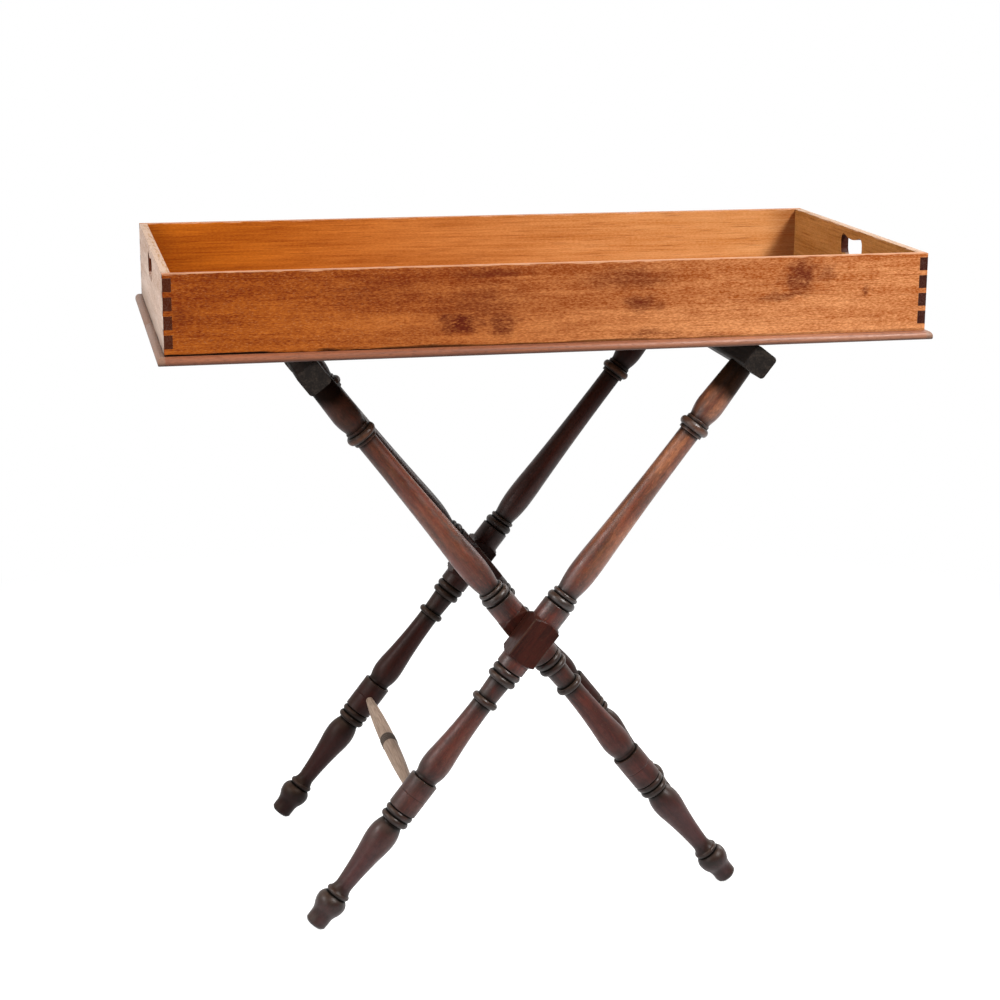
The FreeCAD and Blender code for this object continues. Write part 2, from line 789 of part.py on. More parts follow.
def make_tail_board(label, x_side):
    """Short end board: dovetails at both ends and a hand-hold."""
    board = new_body(label)
    face = new_sketch(board, "YZ_Plane")
    tip = size.tray_width / 2
    base = tip - size.side_thickness - size.joint_gap
    tip_half = size.tail_width / 2
    base_half = tip_half - size.tail_flare
    right = [(base, 0, None)]
    for middle in tail_middles():
        right += [(base, middle - base_half, None), (tip, middle - tip_half, None),
                  (tip, middle + tip_half, None), (base, middle + base_half, None)]
    right.append((base, size.side_height, None))
    left = [(-y, z, None) for y, z, _ in reversed(right)]
    draw_outline(face, right + left)
    draw_outline(face, handhold_corners())
    pad(board, face, size.side_thickness)
    for y_side in (-1, 1):
        pilot(board, 0, end_screw_place() * y_side)
    place(board, end_board_x * x_side, 0, floor_top)
    return keep(board)


def outer_edges(shape, height, reach):
    """Names of a floor board's edges at one height, apart from the one along the joint."""
    names = []
    for number, edge in enumerate(shape.Edges, start=1):
        box = edge.BoundBox
        level = max(abs(box.ZMin - height), abs(box.ZMax - height)) < 1e-6
        along_joint = abs(edge.CenterOfMass.y) < reach / 4
        if level and not along_joint:
            names.append(f"Edge{number}")
    return names


def make_floor_board(label, y_side):
    """Half of the floor: its outer edges stand out past the sides and are rounded to a nose."""
    board = new_body(label)
    half_length = size.tray_length / 2 + size.floor_lip
    reach = size.tray_width / 2 + size.floor_lip
    inner, outer = size.joint_gap / 2 * y_side, reach * y_side
    low, high = (inner, outer) if y_side > 0 else (outer, inner)
    plan = new_sketch(board, "XY_Plane")
    draw_outline(plan, box_corners(-half_length, half_length, low, high))
    solid = pad(board, plan, size.floor_thickness)
    floor_half = size.floor_thickness / 2
    for height, radius in ((floor_half, size.nose_top_radius), (-floor_half, size.nose_bottom_radius)):
        doc.recompute()
        nose = board.newObject("PartDesign::Fillet", f"{label}_nose")
        nose.Base = (solid, outer_edges(solid.Shape, height.value, reach.value))
        bind(nose, "Radius", radius)
        solid = nose
    shank_hole = size.screw_dia / 2 + size.joint_gap
    through = size.floor_thickness + 2 * HOLE_END_ROOM
    for x, y in screw_places(y_side):
        drill(board, shank_hole, through, x, y, -floor_half - HOLE_END_ROOM)
        sink = board.newObject("PartDesign::SubtractiveCone", f"{label}_countersink")
        bind(sink, "Radius1", size.screw_head_dia / 2 + size.joint_gap)
        bind(sink, "Radius2", shank_hole)
        bind(sink, "Height", size.screw_head_depth)
        place(sink, x, y, -floor_half)
    place(board, 0, 0, floor_bottom + floor_half)
    return keep(board)


def screw_places(y_side):
    """Floor screws on the front (-1) or rear (1) half: along the side board and in each end board."""
    places = [(x, front_board_y * y_side) for x in side_screw_places()]
    places += [(end_board_x * x_side, end_screw_place() * y_side) for x_side in (-1, 1)]
    return places


def make_floor_screws(label):
    """Countersunk screws from below, flush with the floor's underside."""
    screws = []
    for index, (x, y) in enumerate(screw_places(-1) + screw_places(1)):
        shank = doc.addObject("Part::Cylinder", f"{label}_shank_{index}")
        bind(shank, "Radius", size.screw_dia / 2)
        bind(shank, "Height", size.screw_length)
        place(shank, x, y, floor_bottom)
        head = doc.addObject("Part::Cone", f"{label}_head_{index}")
        bind(head, "Radius1", size.screw_head_dia / 2)
        bind(head, "Radius2", size.screw_dia / 2)
        bind(head, "Height", size.screw_head_depth)
        place(head, x, y, floor_bottom)
        screw = doc.addObject("Part::Fuse", f"{label}_{index}")
        screw.Base = shank
        screw.Tool = head
        screws.append(screw)
    group = doc.addObject("Part::Compound", label)
    group.Label = label
    group.Links = screws
    return keep(group)


# The stand

make_leg("outer_front_leg", 1, -outer_leg_y, 1)
make_leg("outer_rear_leg", 1, outer_leg_y, -1)
make_leg("inner_front_leg", -1, -inner_leg_y, -1)
make_leg("inner_rear_leg", -1, inner_leg_y, 1)
make_rail("outer_top_rail", 1)
make_rail("inner_top_rail", -1)
make_stretcher("outer_stretcher", 1)
make_stretcher("inner_stretcher", -1)
make_pivot_pin("front_pivot_pin", -1)
make_pivot_pin("rear_pivot_pin", 1)
make_tacks("outer_rail_tacks", 1)
make_tacks("inner_rail_tacks", -1)
make_strap("front_webbing_strap", -1)
make_strap("rear_webbing_strap", 1)

# The tray

make_pin_board("tray_front", -1)
make_pin_board("tray_back", 1)
make_tail_board("tray_left_end", -1)
make_tail_board("tray_right_end", 1)
make_floor_board("tray_floor_front", -1)
make_floor_board("tray_floor_rear", 1)
make_floor_screws("tray_floor_screws")

doc.recompute()
for thing in doc.Objects:
    if "Invalid" in thing.State or "Error" in thing.State:
        raise RuntimeError(f"{thing.Label} failed: {thing.State}")
for node in nodes:
    if node.Shape.isNull() or not node.Shape.isValid():
        raise RuntimeError(f"{node.Label} has no valid shape")

os.makedirs("parts", exist_ok=True)
for node in nodes:
    node.Shape.exportStep(f"parts/{node.Label}.step")
    print(f"{node.Label}: {len(node.Shape.Solids)} solids, {node.Shape.Volume / 1000:.1f} cm3")
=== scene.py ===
"""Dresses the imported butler's tray table: a dovetailed tray on webbing over a folding stand of turned legs.

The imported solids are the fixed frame. The tray's boards, the rails and the small metal pieces keep their
solids and get finishes. The legs, the stretchers and the straps are finer surfaces that stand for theirs.
Blender's lengths are metres; the tables of turned shapes are in millimetres, as a turner would write them.
"""

import json
import math
from functools import partial

import bpy
import numpy as np
from mathutils import Euler, Matrix, Vector


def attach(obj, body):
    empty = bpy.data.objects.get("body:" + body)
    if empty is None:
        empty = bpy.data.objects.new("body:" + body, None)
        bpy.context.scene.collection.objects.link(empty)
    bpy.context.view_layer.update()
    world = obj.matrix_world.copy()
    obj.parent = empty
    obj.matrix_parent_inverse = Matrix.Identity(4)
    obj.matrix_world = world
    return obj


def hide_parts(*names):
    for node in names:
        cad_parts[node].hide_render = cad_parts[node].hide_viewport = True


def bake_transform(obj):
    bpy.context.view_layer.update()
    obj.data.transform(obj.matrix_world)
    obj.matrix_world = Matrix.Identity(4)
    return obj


bl_info = {
    "name": "Butler's tray table",
    "version": (1, 0, 0),
    "blender": (4, 5, 0),
    "location": "3D View > Sidebar > Tray table",
    "description": "Finishes for a dovetailed tray on a folding stand of turned legs",
    "category": "Object",
}

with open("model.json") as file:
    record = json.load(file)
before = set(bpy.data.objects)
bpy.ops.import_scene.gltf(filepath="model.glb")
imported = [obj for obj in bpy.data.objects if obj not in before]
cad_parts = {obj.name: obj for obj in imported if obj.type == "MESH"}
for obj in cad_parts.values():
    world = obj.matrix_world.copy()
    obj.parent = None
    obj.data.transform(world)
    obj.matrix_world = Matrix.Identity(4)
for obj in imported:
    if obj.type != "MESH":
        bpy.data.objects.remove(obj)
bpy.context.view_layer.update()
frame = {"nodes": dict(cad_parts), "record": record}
FOLD_JOINT = next(joint for joint in frame["record"]["behaviour"]["joints"] if joint["name"] == "stand_fold")
PIVOT = FOLD_JOINT["pos_m"]

# Sizes of the stand in millimetres, apart from the lean, the slope and the beads' share of crown
MM = 0.001
LEAN = math.radians(37.85)
OUTER_LEG_Y = 186.0
INNER_LEG_Y = 147.6
BLOCK_LENGTH = 60.0
BLOCK_HALF_SIDE = 19.0
BLOCK_EDGE_ROUND = 1.1
BLOCK_END_SLOPE = 1.9
BLOCK_CORNER_REACH = 27.5
COLLAR_DIA = 37.6
DRUM_MIDDLE = 241.6
DRUM_DIA = 37.7
BEAD_CROWN = 0.27
FOOT_HOLLOW = 0.8
RAIL_MIDDLE = 437.5
RAIL_HALF_CORE = 10.5
RAIL_ROUND = 5.0
STRAP_GAP = 0.3
STRAP_THICKNESS = 1.5
STRAP_WIDTH = 50.0
STRAP_TAIL = 11.0
STRAP_SAG = 2.5
STRAP_Y = 102.5
STRETCHER_TENON = 12.0
STRETCHER_CHAMFER = 0.6
STRETCHER_BEADS = 11.85
THREAD_PITCH = 2.0

# Places on the tray and the straps, in metres
RIM_Z = 0.829
FLOOR_Z = 0.735
SIDE_MID_X = 0.452
SIDE_MID_Y = 0.225
NOSE_X = 0.456
NOSE_Y = 0.229

# Turned shapes as (form, length, end diameter), from the block outwards; a step changes the diameter at once
UPPER_TURNING = (
    ("straight", 24.5, COLLAR_DIA), ("step", 1.5, 33.5), ("bead", 10, 38.6), ("step", 1.5, 30.5),
    ("bead", 5, 34.2), ("step", 3, 28.4), ("round", 32.5, 35.2), ("round", 32, 33.4), ("hollow", 180, 25.9),
    ("step", 4.5, 30.8), ("bead", 10, 39), ("step", 4.5, 30.8), ("step", 3, 28.4), ("round", 20, 34.6),
    ("straight", 60, 29.8), ("step", 20, 18),
)
LOWER_TURNING = (
    ("straight", 14, COLLAR_DIA), ("step", 1.5, 33.5), ("bead", 9, 38.5), ("step", 1.5, 33.5),
    ("bead", 8, 38.5), ("step", 0, 28.6), ("straight", 26.5, 26), ("bead", 8, 35.4), ("step", 0, 26),
    ("hollow", 80.8, 34.7), ("round", 16, 36.8), ("round", 18, 30.2), ("straight", 5, 30.2),
    ("step", 22.8, DRUM_DIA), ("straight", 0.45, DRUM_DIA - 1.2), ("straight", 0.45, DRUM_DIA),
    ("straight", 22.8, DRUM_DIA), ("step", 1.5, 33.5), ("bead", 8, 37.8), ("step", 1.5, 33.5),
    ("bead", 8, 37.8), ("step", 3, 28.4), ("round", 20.5, 38.1), ("round", 19, 34.2), ("dish", 58.5, 22),
    ("hollow", 9.5, 27.6), ("bead", 5.5, 31.4), ("step", 1.5, 27.6), ("round", 10.5, 39), ("round", 12.5, 32),
    ("hollow", 10, 27.6), ("straight", 9.4, 27.6), ("straight", 3, 22),
)

# Stains on the outside of the front board: x, z, half length and half height in millimetres, strength
FRONT_STAINS = (
    (-436, 781, 16, 9, 0.45), (-116, 763, 27, 12, 1.2), (-70, 760, 17, 17, 0.8), (-92, 784, 48, 26, 0.42),
    (-80, 819, 42, 8, 0.55), (99, 778, 24, 10, 0.65), (86, 809, 52, 13, 0.5), (110, 740, 36, 7, 0.55),
    (170, 737, 48, 5, 0.4), (297, 806, 20, 22, 0.75), (276, 783, 34, 6, 0.55), (328, 810, 10, 13, 0.45),
    (380, 786, 5, 4, 0.6), (-205, 803, 70, 16, 0.22),
)
# How far the edges of the stains wander, in metres
STAIN_SHAKE = (0.05, 0.0, 0.028)

# How finely the surfaces are drawn, how far they are eased in millimetres, and how their points crowd
SAMPLES = 48
LINE_STEP = 0.2
RINGS = 470
SIDES = 96
STRETCHER_RINGS = 190
STRETCHER_SIDES = 48
STRAP_POINTS = {"level": 90, "first turn": 9, "second turn": 15, "tail": 6, "across": 17}
CORNER_EASE = 0.4
TURNING_EASE = 0.6
LEAST_CROWDING = 0.01
CORNER_CROWDING = 0.19

# Where the block's corners count as rubbed, in half sides, and how far apart the legs lie in their figure
RUBBED_CORNER = 1.35
LEG_APART = 0.37

# Shades that darken other colours, how dark the sawn walls are, and how far the floor is lifted towards white
PORE_SHADE = (0.42, 0.34, 0.3)
THREAD_SHADE = (0.25, 0.22, 0.2)
# black for the painted shadow on the leg tops and for the grooves
BLACK_SHADOW_AND_GROOVES = (0.004, 0.003, 0.002)
SAWN_TONE = 0.5
FLOOR_LIFT = 0.88

# Lamps with their places and widths, what they are turned to, and the floor's reach and drop, in metres
LAMPS = {
    "key": ((1.65, -1.7, 2.65), 0.6),
    "fill": ((-1.3, -2.4, 3.0), 1.9),
    "left": ((-2.4, -0.6, 2.0), 1.2),
    "front": ((-2.4, -1.7, 0.75), 1.3),
    "rear": ((2.4, 1.7, 2.1), 1.4),
}
LAMP_AIM = (0.0, 0.0, 0.6)
STAGE_REACH = 6.0
STAGE_DROP = 0.0003

# Ranges that begin and end softly, and what most nodes of a kind are set to
SMOOTH = {"interpolation_type": "SMOOTHSTEP"}
USUAL = {"Mix": {"data_type": "RGBA"}, "Math": {"operation": "MULTIPLY"}}


def linear(code):
    """Turn an sRGB hex value into linear red, green and blue."""
    shares = np.array([int(code[at:at + 2], 16) for at in (1, 3, 5)]) / 255.0
    curve = np.where(shares <= 0.04045, shares / 12.92, ((shares + 0.055) / 1.055) ** 2.4)
    return tuple(curve.tolist())


def colour_of(name, description, code):
    """A colour property with its default given as an sRGB hex value."""
    return bpy.props.FloatVectorProperty(
        name=name, description=description, subtype="COLOR", size=3, min=0.0, max=1.0, default=linear(code))


def number_of(name, description, default, **measure):
    """A number property; measure is its unit or subtype, where it has one."""
    return bpy.props.FloatProperty(name=name, description=description, default=default, **measure)


class TrayFinish(bpy.types.PropertyGroup):
    """Colours of the tray, and how far its edges are eased."""

    outside: colour_of("Outside", "Outer faces of the sides, light figure", "#b46120")
    outside_dark: colour_of("Outside streaks", "Outer faces of the sides, dark figure", "#712908")
    # the faded colours, outside and inside: partly real fading, partly a painted pool of light and sheen from
    # the lamp at the right
    faded: colour_of("Outside faded", "Light figure where the right end has faded", "#e09b66")
    lit_faded_dark: colour_of("Outside faded streaks", "Dark figure where the right end has faded", "#974a1a")
    inside: colour_of("Inside", "Inner faces of the sides, light figure", "#c56e1c")
    inside_dark: colour_of("Inside streaks", "Inner faces of the sides, dark figure", "#8f420b")
    inside_lit_faded: colour_of("Inside faded", "Light figure inside, at the faded end", "#dba169")
    inside_lit_faded_dark: colour_of("Inside faded streaks", "Dark figure inside, at the faded end", "#b87134")
    end_inside: colour_of("Ends inside", "Inner faces of the ends, light figure", "#c99254")
    end_inside_dark: colour_of("Ends inside streaks", "Inner faces of the ends, dark figure", "#925c25")
    end_outside: colour_of("Ends outside", "Outer faces of the ends, light figure", "#e0c9ba")
    end_outside_dark: colour_of("Ends outside streaks", "Outer faces of the ends, dark figure", "#a78166")
    scratch: colour_of("Scratches", "Fine pale scratches on the outer faces", "#d59a64")
    stain: colour_of("Stain", "Old red-brown stains and knots", "#591e0e")
    end_grain: colour_of("End grain", "Cut ends of the tails and pins", "#451a07")
    worn_edge: colour_of("Worn edge", "Rubbed upper edges of the long sides", "#d0966f")
    worn_end: colour_of("Worn end edge", "Rubbed upper edges of the end boards", "#cfae95")
    dirt: colour_of("Dirt", "Dirt in the joints", "#160a05")
    # painted shade: the shadows that the end boards cast in the inner corners
    corner_shade: colour_of("Corners", "Old polish in the inner corners", "#5a2203")
    grime: colour_of("Grime", "Grey-brown grime low on the outside of the end boards", "#826750")
    tails_right: colour_of("Tails at the right", "Cut ends at the right, darker with polish", "#36150e")
    nose: colour_of("Moulding", "Rounded edge of the floor boards", "#945839")
    # partly faded, partly painted light from the lamp at the right
    nose_lit_faded: colour_of("Moulding faded", "The same edge towards the right", "#aa7254")
    nose_dark: colour_of("Moulding streaks", "Darker streaks there", "#704230")
    nose_end: colour_of("Moulding ends", "Dull moulding at the two ends", "#8a6853")
    floor: colour_of("Floor", "Floor of the tray from above", "#b97434")
    underside: colour_of("Underside", "Floor boards from below", "#7d5638")
    bevel: number_of("Edge wear", "Width of the eased edges", 0.0006, unit="LENGTH")
    floor_bevel: number_of("Floor edge wear", "Width of the floor boards' eased edges", 0.0003, unit="LENGTH")


class StandFinish(bpy.types.PropertyGroup):
    """Colours of the stand, and how far the edges of its rails are eased."""

    leg: colour_of("Leg", "Red-brown polished wood of the legs", "#6c2c1d")
    # also the painted shade over the rear legs and the upper legs under the tray
    leg_grain_and_shade: colour_of("Leg streaks", "Darker grain in the legs", "#260f0a")
    # also painted light on the outer front leg and on the upper bead crowns
    leg_wear_and_light: colour_of("Leg wear", "Rubbed patches on the legs", "#b5734e")
    leg_low: colour_of("Leg below", "Darker, purplish wood of the lower legs", "#3d2527")
    soot: colour_of("Old wax", "Dark wax and dust about the beads", "#18100c")
    # also painted highlights on the bead crowns and painted sheen on what faces up
    dust: colour_of("Dust", "Dusty crowns of the beads and upper sides", "#4a372b")
    rail: colour_of("Rail", "Dark stained rails", "#1b1613")
    rail_worn: colour_of("Rail wear", "Rubbed edges of the rails", "#302822")
    stretcher: colour_of("Stretcher", "Faded wood of the stretchers", "#b49b87")
    stretcher_dark: colour_of("Stretcher streaks", "Darker grain in the stretchers", "#8b7464")
    stretcher_band: colour_of("Stretcher rings", "Dark rings at the middle", "#3d3129")
    webbing: colour_of("Webbing", "Woven straps", "#57493a")
    webbing_dark: colour_of("Webbing stripes", "Darker warp of the straps", "#33291f")
    brass: colour_of("Brass", "Tarnished tacks", "#8c6b38")
    brass_dark: colour_of("Brass tarnish", "Dark tarnish on the tacks", "#3d2f1a")
    steel: colour_of("Steel", "Dull pins and screws", "#75726d")
    steel_dark: colour_of("Steel tarnish", "Dark spots on the pins and screws", "#3a342e")
    rail_bevel: number_of("Rail edge wear", "Width of the rails' eased edges", 0.0008, unit="LENGTH")


class StageSettings(bpy.types.PropertyGroup):
    """Lamps, surroundings and camera."""

    camera_place: bpy.props.FloatVectorProperty(
        name="Camera place", description="Where the camera stands", subtype="XYZ", unit="LENGTH",
        default=(-0.6029, -2.7281, 1.2001))
    camera_pitch: number_of(
        "Camera pitch", "How far the camera looks down", math.radians(14.302), subtype="ANGLE")
    camera_yaw: number_of(
        "Camera yaw", "How far the camera looks to the left", math.radians(-12.071), subtype="ANGLE")
    camera_roll: number_of("Camera roll", "How far the camera leans", math.radians(0.194), subtype="ANGLE")
    lens: number_of("Lens", "Focal length on a 36 mm sensor", 80.05, unit="CAMERA")
    key_watts: number_of("Key lamp", "Small lamp high before the right side", 111.0, subtype="POWER")
    fill_watts: number_of("Fill lamp", "Wide lamp high before the left side", 12.0, subtype="POWER")
    left_watts: number_of("Left lamp", "Soft lamp at the left", 42.0, subtype="POWER")
    front_watts: number_of("Front lamp", "Low lamp before the left side", 16.0, subtype="POWER")
    rear_watts: number_of("Rear lamp", "Weak lamp behind the right side", 40.0, subtype="POWER")
    surround: number_of("Surroundings", "Strength of the soft light from all round", 0.1)
    room: number_of("Room", "Brightness of the room before the table, as gloss shows it", 0.1)
    floor: colour_of("Floor", "Pale studio floor", "#c8c8c8")


def add_node(tree, kind, *values, out=0, named=None, **settings):
    """Add a node: settings are its properties, values fill its inputs in order and named ones by name.

    A socket among the values becomes a link, None leaves an input alone, and a colour gets its alpha here.
    A Mix node blends colours and a Math node multiplies unless settings say otherwise. Returns one output.
    """
    made = tree.nodes.new("ShaderNode" + kind)
    for name, value in (USUAL.get(kind, {}) | settings).items():
        setattr(made, name, value)
    in_use = [socket for socket in made.inputs if socket.enabled]
    pairs = list(zip(in_use, values))
    pairs += [(made.inputs[name], value) for name, value in (named or {}).items()]
    for socket, value in pairs:
        if isinstance(value, bpy.types.NodeSocket):
            tree.links.new(value, socket)
        elif value is not None:
            socket.default_value = (*value, 1.0) if socket.type == "RGBA" else value
    outputs = [socket for socket in made.outputs if socket.enabled]
    return outputs[out] if outputs else None


def new_material(name):
    """A material whose node tree is still empty, and the function that adds nodes to that tree."""
    material = bpy.data.materials.new(name)
    material.use_nodes = True
    material.node_tree.nodes.clear()
    return material, partial(add_node, material.node_tree)


def figure(add, place, along, length, width, detail=2.0, shift=0.0):
    """Wood figure: soft noise in marks about length by width millimetres, laid along an axis of the grain."""
    scale = [1000.0 / width] * 3
    scale["xyz".index(along)] = 1000.0 / length
    laid = add("Mapping", place, (shift, shift, shift), None, scale)
    return add("TexNoise", laid, 1.0, detail, 0.6)


def finish_surface(add, base, roughness, height, depth, named=None):
    """Close a material: its colour, its roughness and a bump whose full height is depth millimetres."""
    bump = add("Bump", named={"Strength": 1.0, "Distance": depth * MM, "Height": height})
    sockets = {"Base Color": base, "Roughness": roughness, "Normal": bump} | (named or {})
    add("OutputMaterial", add("BsdfPrincipled", named=sockets))


def past_edges(add, x, y, half_length, half_width):
    """How far a point lies outside a rectangle about the tray's middle, in metres; below zero inside."""
    sides = []
    for at, half in ((x, half_length), (y, half_width)):
        from_middle = add("Math", at, operation="ABSOLUTE")
        sides.append(add("Math", from_middle, half, operation="SUBTRACT"))
    return add("Math", *sides, operation="MAXIMUM")


def stain_mask(add, place, stains):
    """How far a point lies in any stain: one inside, falling smoothly to zero at the uneven edges."""
    uneven = add("TexNoise", place, 55.0, 3.0, 0.6, out=1)
    moved = add("VectorMath", uneven, (0.5, 0.5, 0.5), operation="SUBTRACT")
    shaken = add("VectorMath", moved, STAIN_SHAKE, place, operation="MULTIPLY_ADD")
    total = None
    for x, z, half_length, half_height, strength in stains:
        spread = (1000.0 / half_length, 0.0, 1000.0 / half_height)
        centre = (-x / half_length, 0.0, -z / half_height)
        near = add("VectorMath", shaken, spread, centre, operation="MULTIPLY_ADD")
        far = add("VectorMath", near, operation="LENGTH")
        mark = add("MapRange", far, 0.2, 1.5, strength, 0.0, **SMOOTH)
        total = mark if total is None else add("Math", total, mark, operation="MAXIMUM")
    return total


def side_board_wood(name, along, finish, stains):
    """Old pine with a worn shellac finish: orange, streaked along the grain, with dark flecks and pores.

    Outer faces are browner than the inner ones. Cut ends are dark, upper edges are rubbed pale, and dirt lies
    along the joint with the floor. The long sides grow paler towards the right end, partly faded and partly
    painted light from the lamp there, and the inner corners of the long sides carry painted shade.
    """
    material, add = new_material(name)
    place = add("TexCoord", out=3)
    x, y, z = add("SeparateXYZ", place).node.outputs
    facing_x, facing_y, facing_z = add("SeparateXYZ", add("TexCoord", out=1)).node.outputs

    # figure of the wood: broad bands, fine lines, mottling and specks
    tone = figure(add, place, along, 190, 17, 3.0)
    streak = figure(add, place, along, 130, 2.6, 3.0, 3.1)
    mottle = figure(add, place, along, 18, 8, 4.0, 5.2)
    speck = figure(add, place, along, 4.2, 1.3, 3.0, 7.7)
    broad = add("MapRange", tone, 0.36, 0.66, -0.15, 0.3, **SMOOTH)
    lined = add("Math", streak, 0.9, broad, operation="MULTIPLY_ADD")
    calm = add("Math", streak, 0.9, 0.03, operation="MULTIPLY_ADD")
    for mark, share in ((speck, 0.9), (broad, 0.55)):
        calm = add("Math", mark, share, calm, operation="MULTIPLY_ADD")
    busy = add("Math", speck, 1.7, -0.475, operation="MULTIPLY_ADD")
    for mark, share in ((mottle, 0.55), (lined, 0.6)):
        busy = add("Math", mark, share, busy, operation="MULTIPLY_ADD")
    # the outside is darker towards the rim
    rising = add("MapRange", z, FLOOR_Z, RIM_Z, -0.15, 0.22)
    busy = add("Math", busy, rising, operation="ADD")
    figured_in = add("MapRange", calm, 0.6, 1.35)
    figured_out = add("MapRange", busy, 0.52, 1.36)
    # paler towards the right end: partly faded, partly a painted pool of light and sheen from the lamp at
    # that side
    faded = add("MapRange", x, -0.4, 0.46, **SMOOTH)
    colours = (finish.end_inside, finish.end_inside_dark, finish.end_outside, finish.end_outside_dark)
    if along == "x":
        pairs = ((finish.inside, finish.inside_lit_faded), (finish.inside_dark, finish.inside_lit_faded_dark),
                 (finish.outside, finish.faded), (finish.outside_dark, finish.lit_faded_dark))
        colours = [add("Mix", faded, fresh, pale) for fresh, pale in pairs]
    light_in, dark_in, light_out, dark_out = colours
    inside = add("Mix", figured_in, light_in, dark_in)
    outside = add("Mix", figured_out, light_out, dark_out)
    scratch = figure(add, place, along, 3.4, 1.1, 2.0, 11.3)
    scratch = add("MapRange", scratch, 0.56, 0.72, 0.0, 0.24)
    outside = add("Mix", scratch, outside, finish.scratch)
    if along == "x":
        # painted shade in the inner corners of the long sides, where the end boards cast their shadows
        shade_at_right_corner = add("MapRange", x, 0.395, 0.44, 0.0, 0.45, **SMOOTH)
        shade_at_left_corner = add("MapRange", x, -0.4, -0.445, 0.0, 0.3, **SMOOTH)
        corner_shade = add("Math", shade_at_right_corner, shade_at_left_corner, operation="MAXIMUM")
        inside = add("Mix", corner_shade, inside, finish.corner_shade)
    else:
        ragged = add("Math", mottle, 0.05, z, operation="MULTIPLY_ADD")
        grimy = add("MapRange", ragged, 0.792, 0.76, 0.0, 0.75)
        outside = add("Mix", grimy, outside, finish.grime)
    outer = add("MapRange", past_edges(add, x, y, SIDE_MID_X, SIDE_MID_Y), -0.0005, 0.0005)
    wood = add("Mix", outer, inside, outside)
    pores = figure(add, place, along, 55, 1.2, 2.0, 2.6)
    pores = add("MapRange", pores, 0.57, 0.7, 0.0, 0.55)
    wood = add("Mix", pores, wood, finish.outside_dark)

    # stains on the outside of the front
    if stains:
        stained = stain_mask(add, place, stains)
        front = add("MapRange", facing_y, -0.5, -0.8)
        blotch = add("MapRange", busy, 0.55, 1.3, 0.4, 1.3)
        for share in (front, outer):
            stained = add("Math", stained, share)
        stained = add("Math", stained, blotch, use_clamp=True)
        wood = add("Mix", stained, wood, finish.stain)

    # cut ends, and the sawn walls of the hand-holds
    toward_end = facing_x if along == "x" else facing_y
    cut = add("MapRange", add("Math", toward_end, operation="ABSOLUTE"), 0.6, 0.8)
    if along == "y":
        sawn = add("MapRange", add("Math", facing_x, operation="ABSOLUTE"), 0.75, 0.6)
        near_hold = add("MapRange", add("Math", y, operation="ABSOLUTE"), 0.06, 0.058)
        below_rim = add("MapRange", z, 0.827, 0.826)
        for share in (near_hold, below_rim, SAWN_TONE):
            sawn = add("Math", sawn, share)
        cut = add("Math", cut, sawn, operation="MAXIMUM")
    pits = figure(add, place, "z", 1.6, 1.2, 2.0, 1.3)
    cut = add("Math", cut, add("MapRange", pits, 0.35, 0.6, 0.94, 1.0))
    sawn_end = add("Mix", faded, finish.end_grain, finish.tails_right)
    wood = add("Mix", cut, wood, sawn_end)

    # rubbed upper edges
    chip = figure(add, place, along, 22, 2.2, 3.0, 9.4)
    ragged = add("Math", chip, 0.008, z, operation="MULTIPLY_ADD")
    rim = add("MapRange", ragged, 0.8318, 0.8332, 0.0, 0.85, **SMOOTH)
    top = add("MapRange", facing_z, 0.6, 0.9, 0.0, 0.6)
    high = add("MapRange", z, 0.824, 0.826)
    worn = add("MapRange", chip, 0.38, 0.62, 0.2, 1.0)
    for share in (high, worn):
        top = add("Math", top, share)
    rubbed = add("Math", rim, top, operation="MAXIMUM")
    wood = add("Mix", rubbed, wood, finish.worn_edge if along == "x" else finish.worn_end)

    # dirt along the floor joint, heaviest at the left
    crumbs = figure(add, place, along, 60, 3.0, 2.0, 4.4)
    low = add("Math", crumbs, 0.009, z, operation="MULTIPLY_ADD")
    gap = add("MapRange", low, 0.7425, 0.7409)
    gap = add("Math", gap, add("MapRange", x, -0.3, 0.45, 1.0, 0.3))
    wood = add("Mix", gap, wood, finish.dirt)

    rough = add("MapRange", mottle, 0.3, 0.7, 0.36, 0.52)
    relief = add("Math", streak, speck, operation="ADD")
    finish_surface(add, wood, rough, relief, 0.12, {"Specular IOR Level": 0.06})
    return material


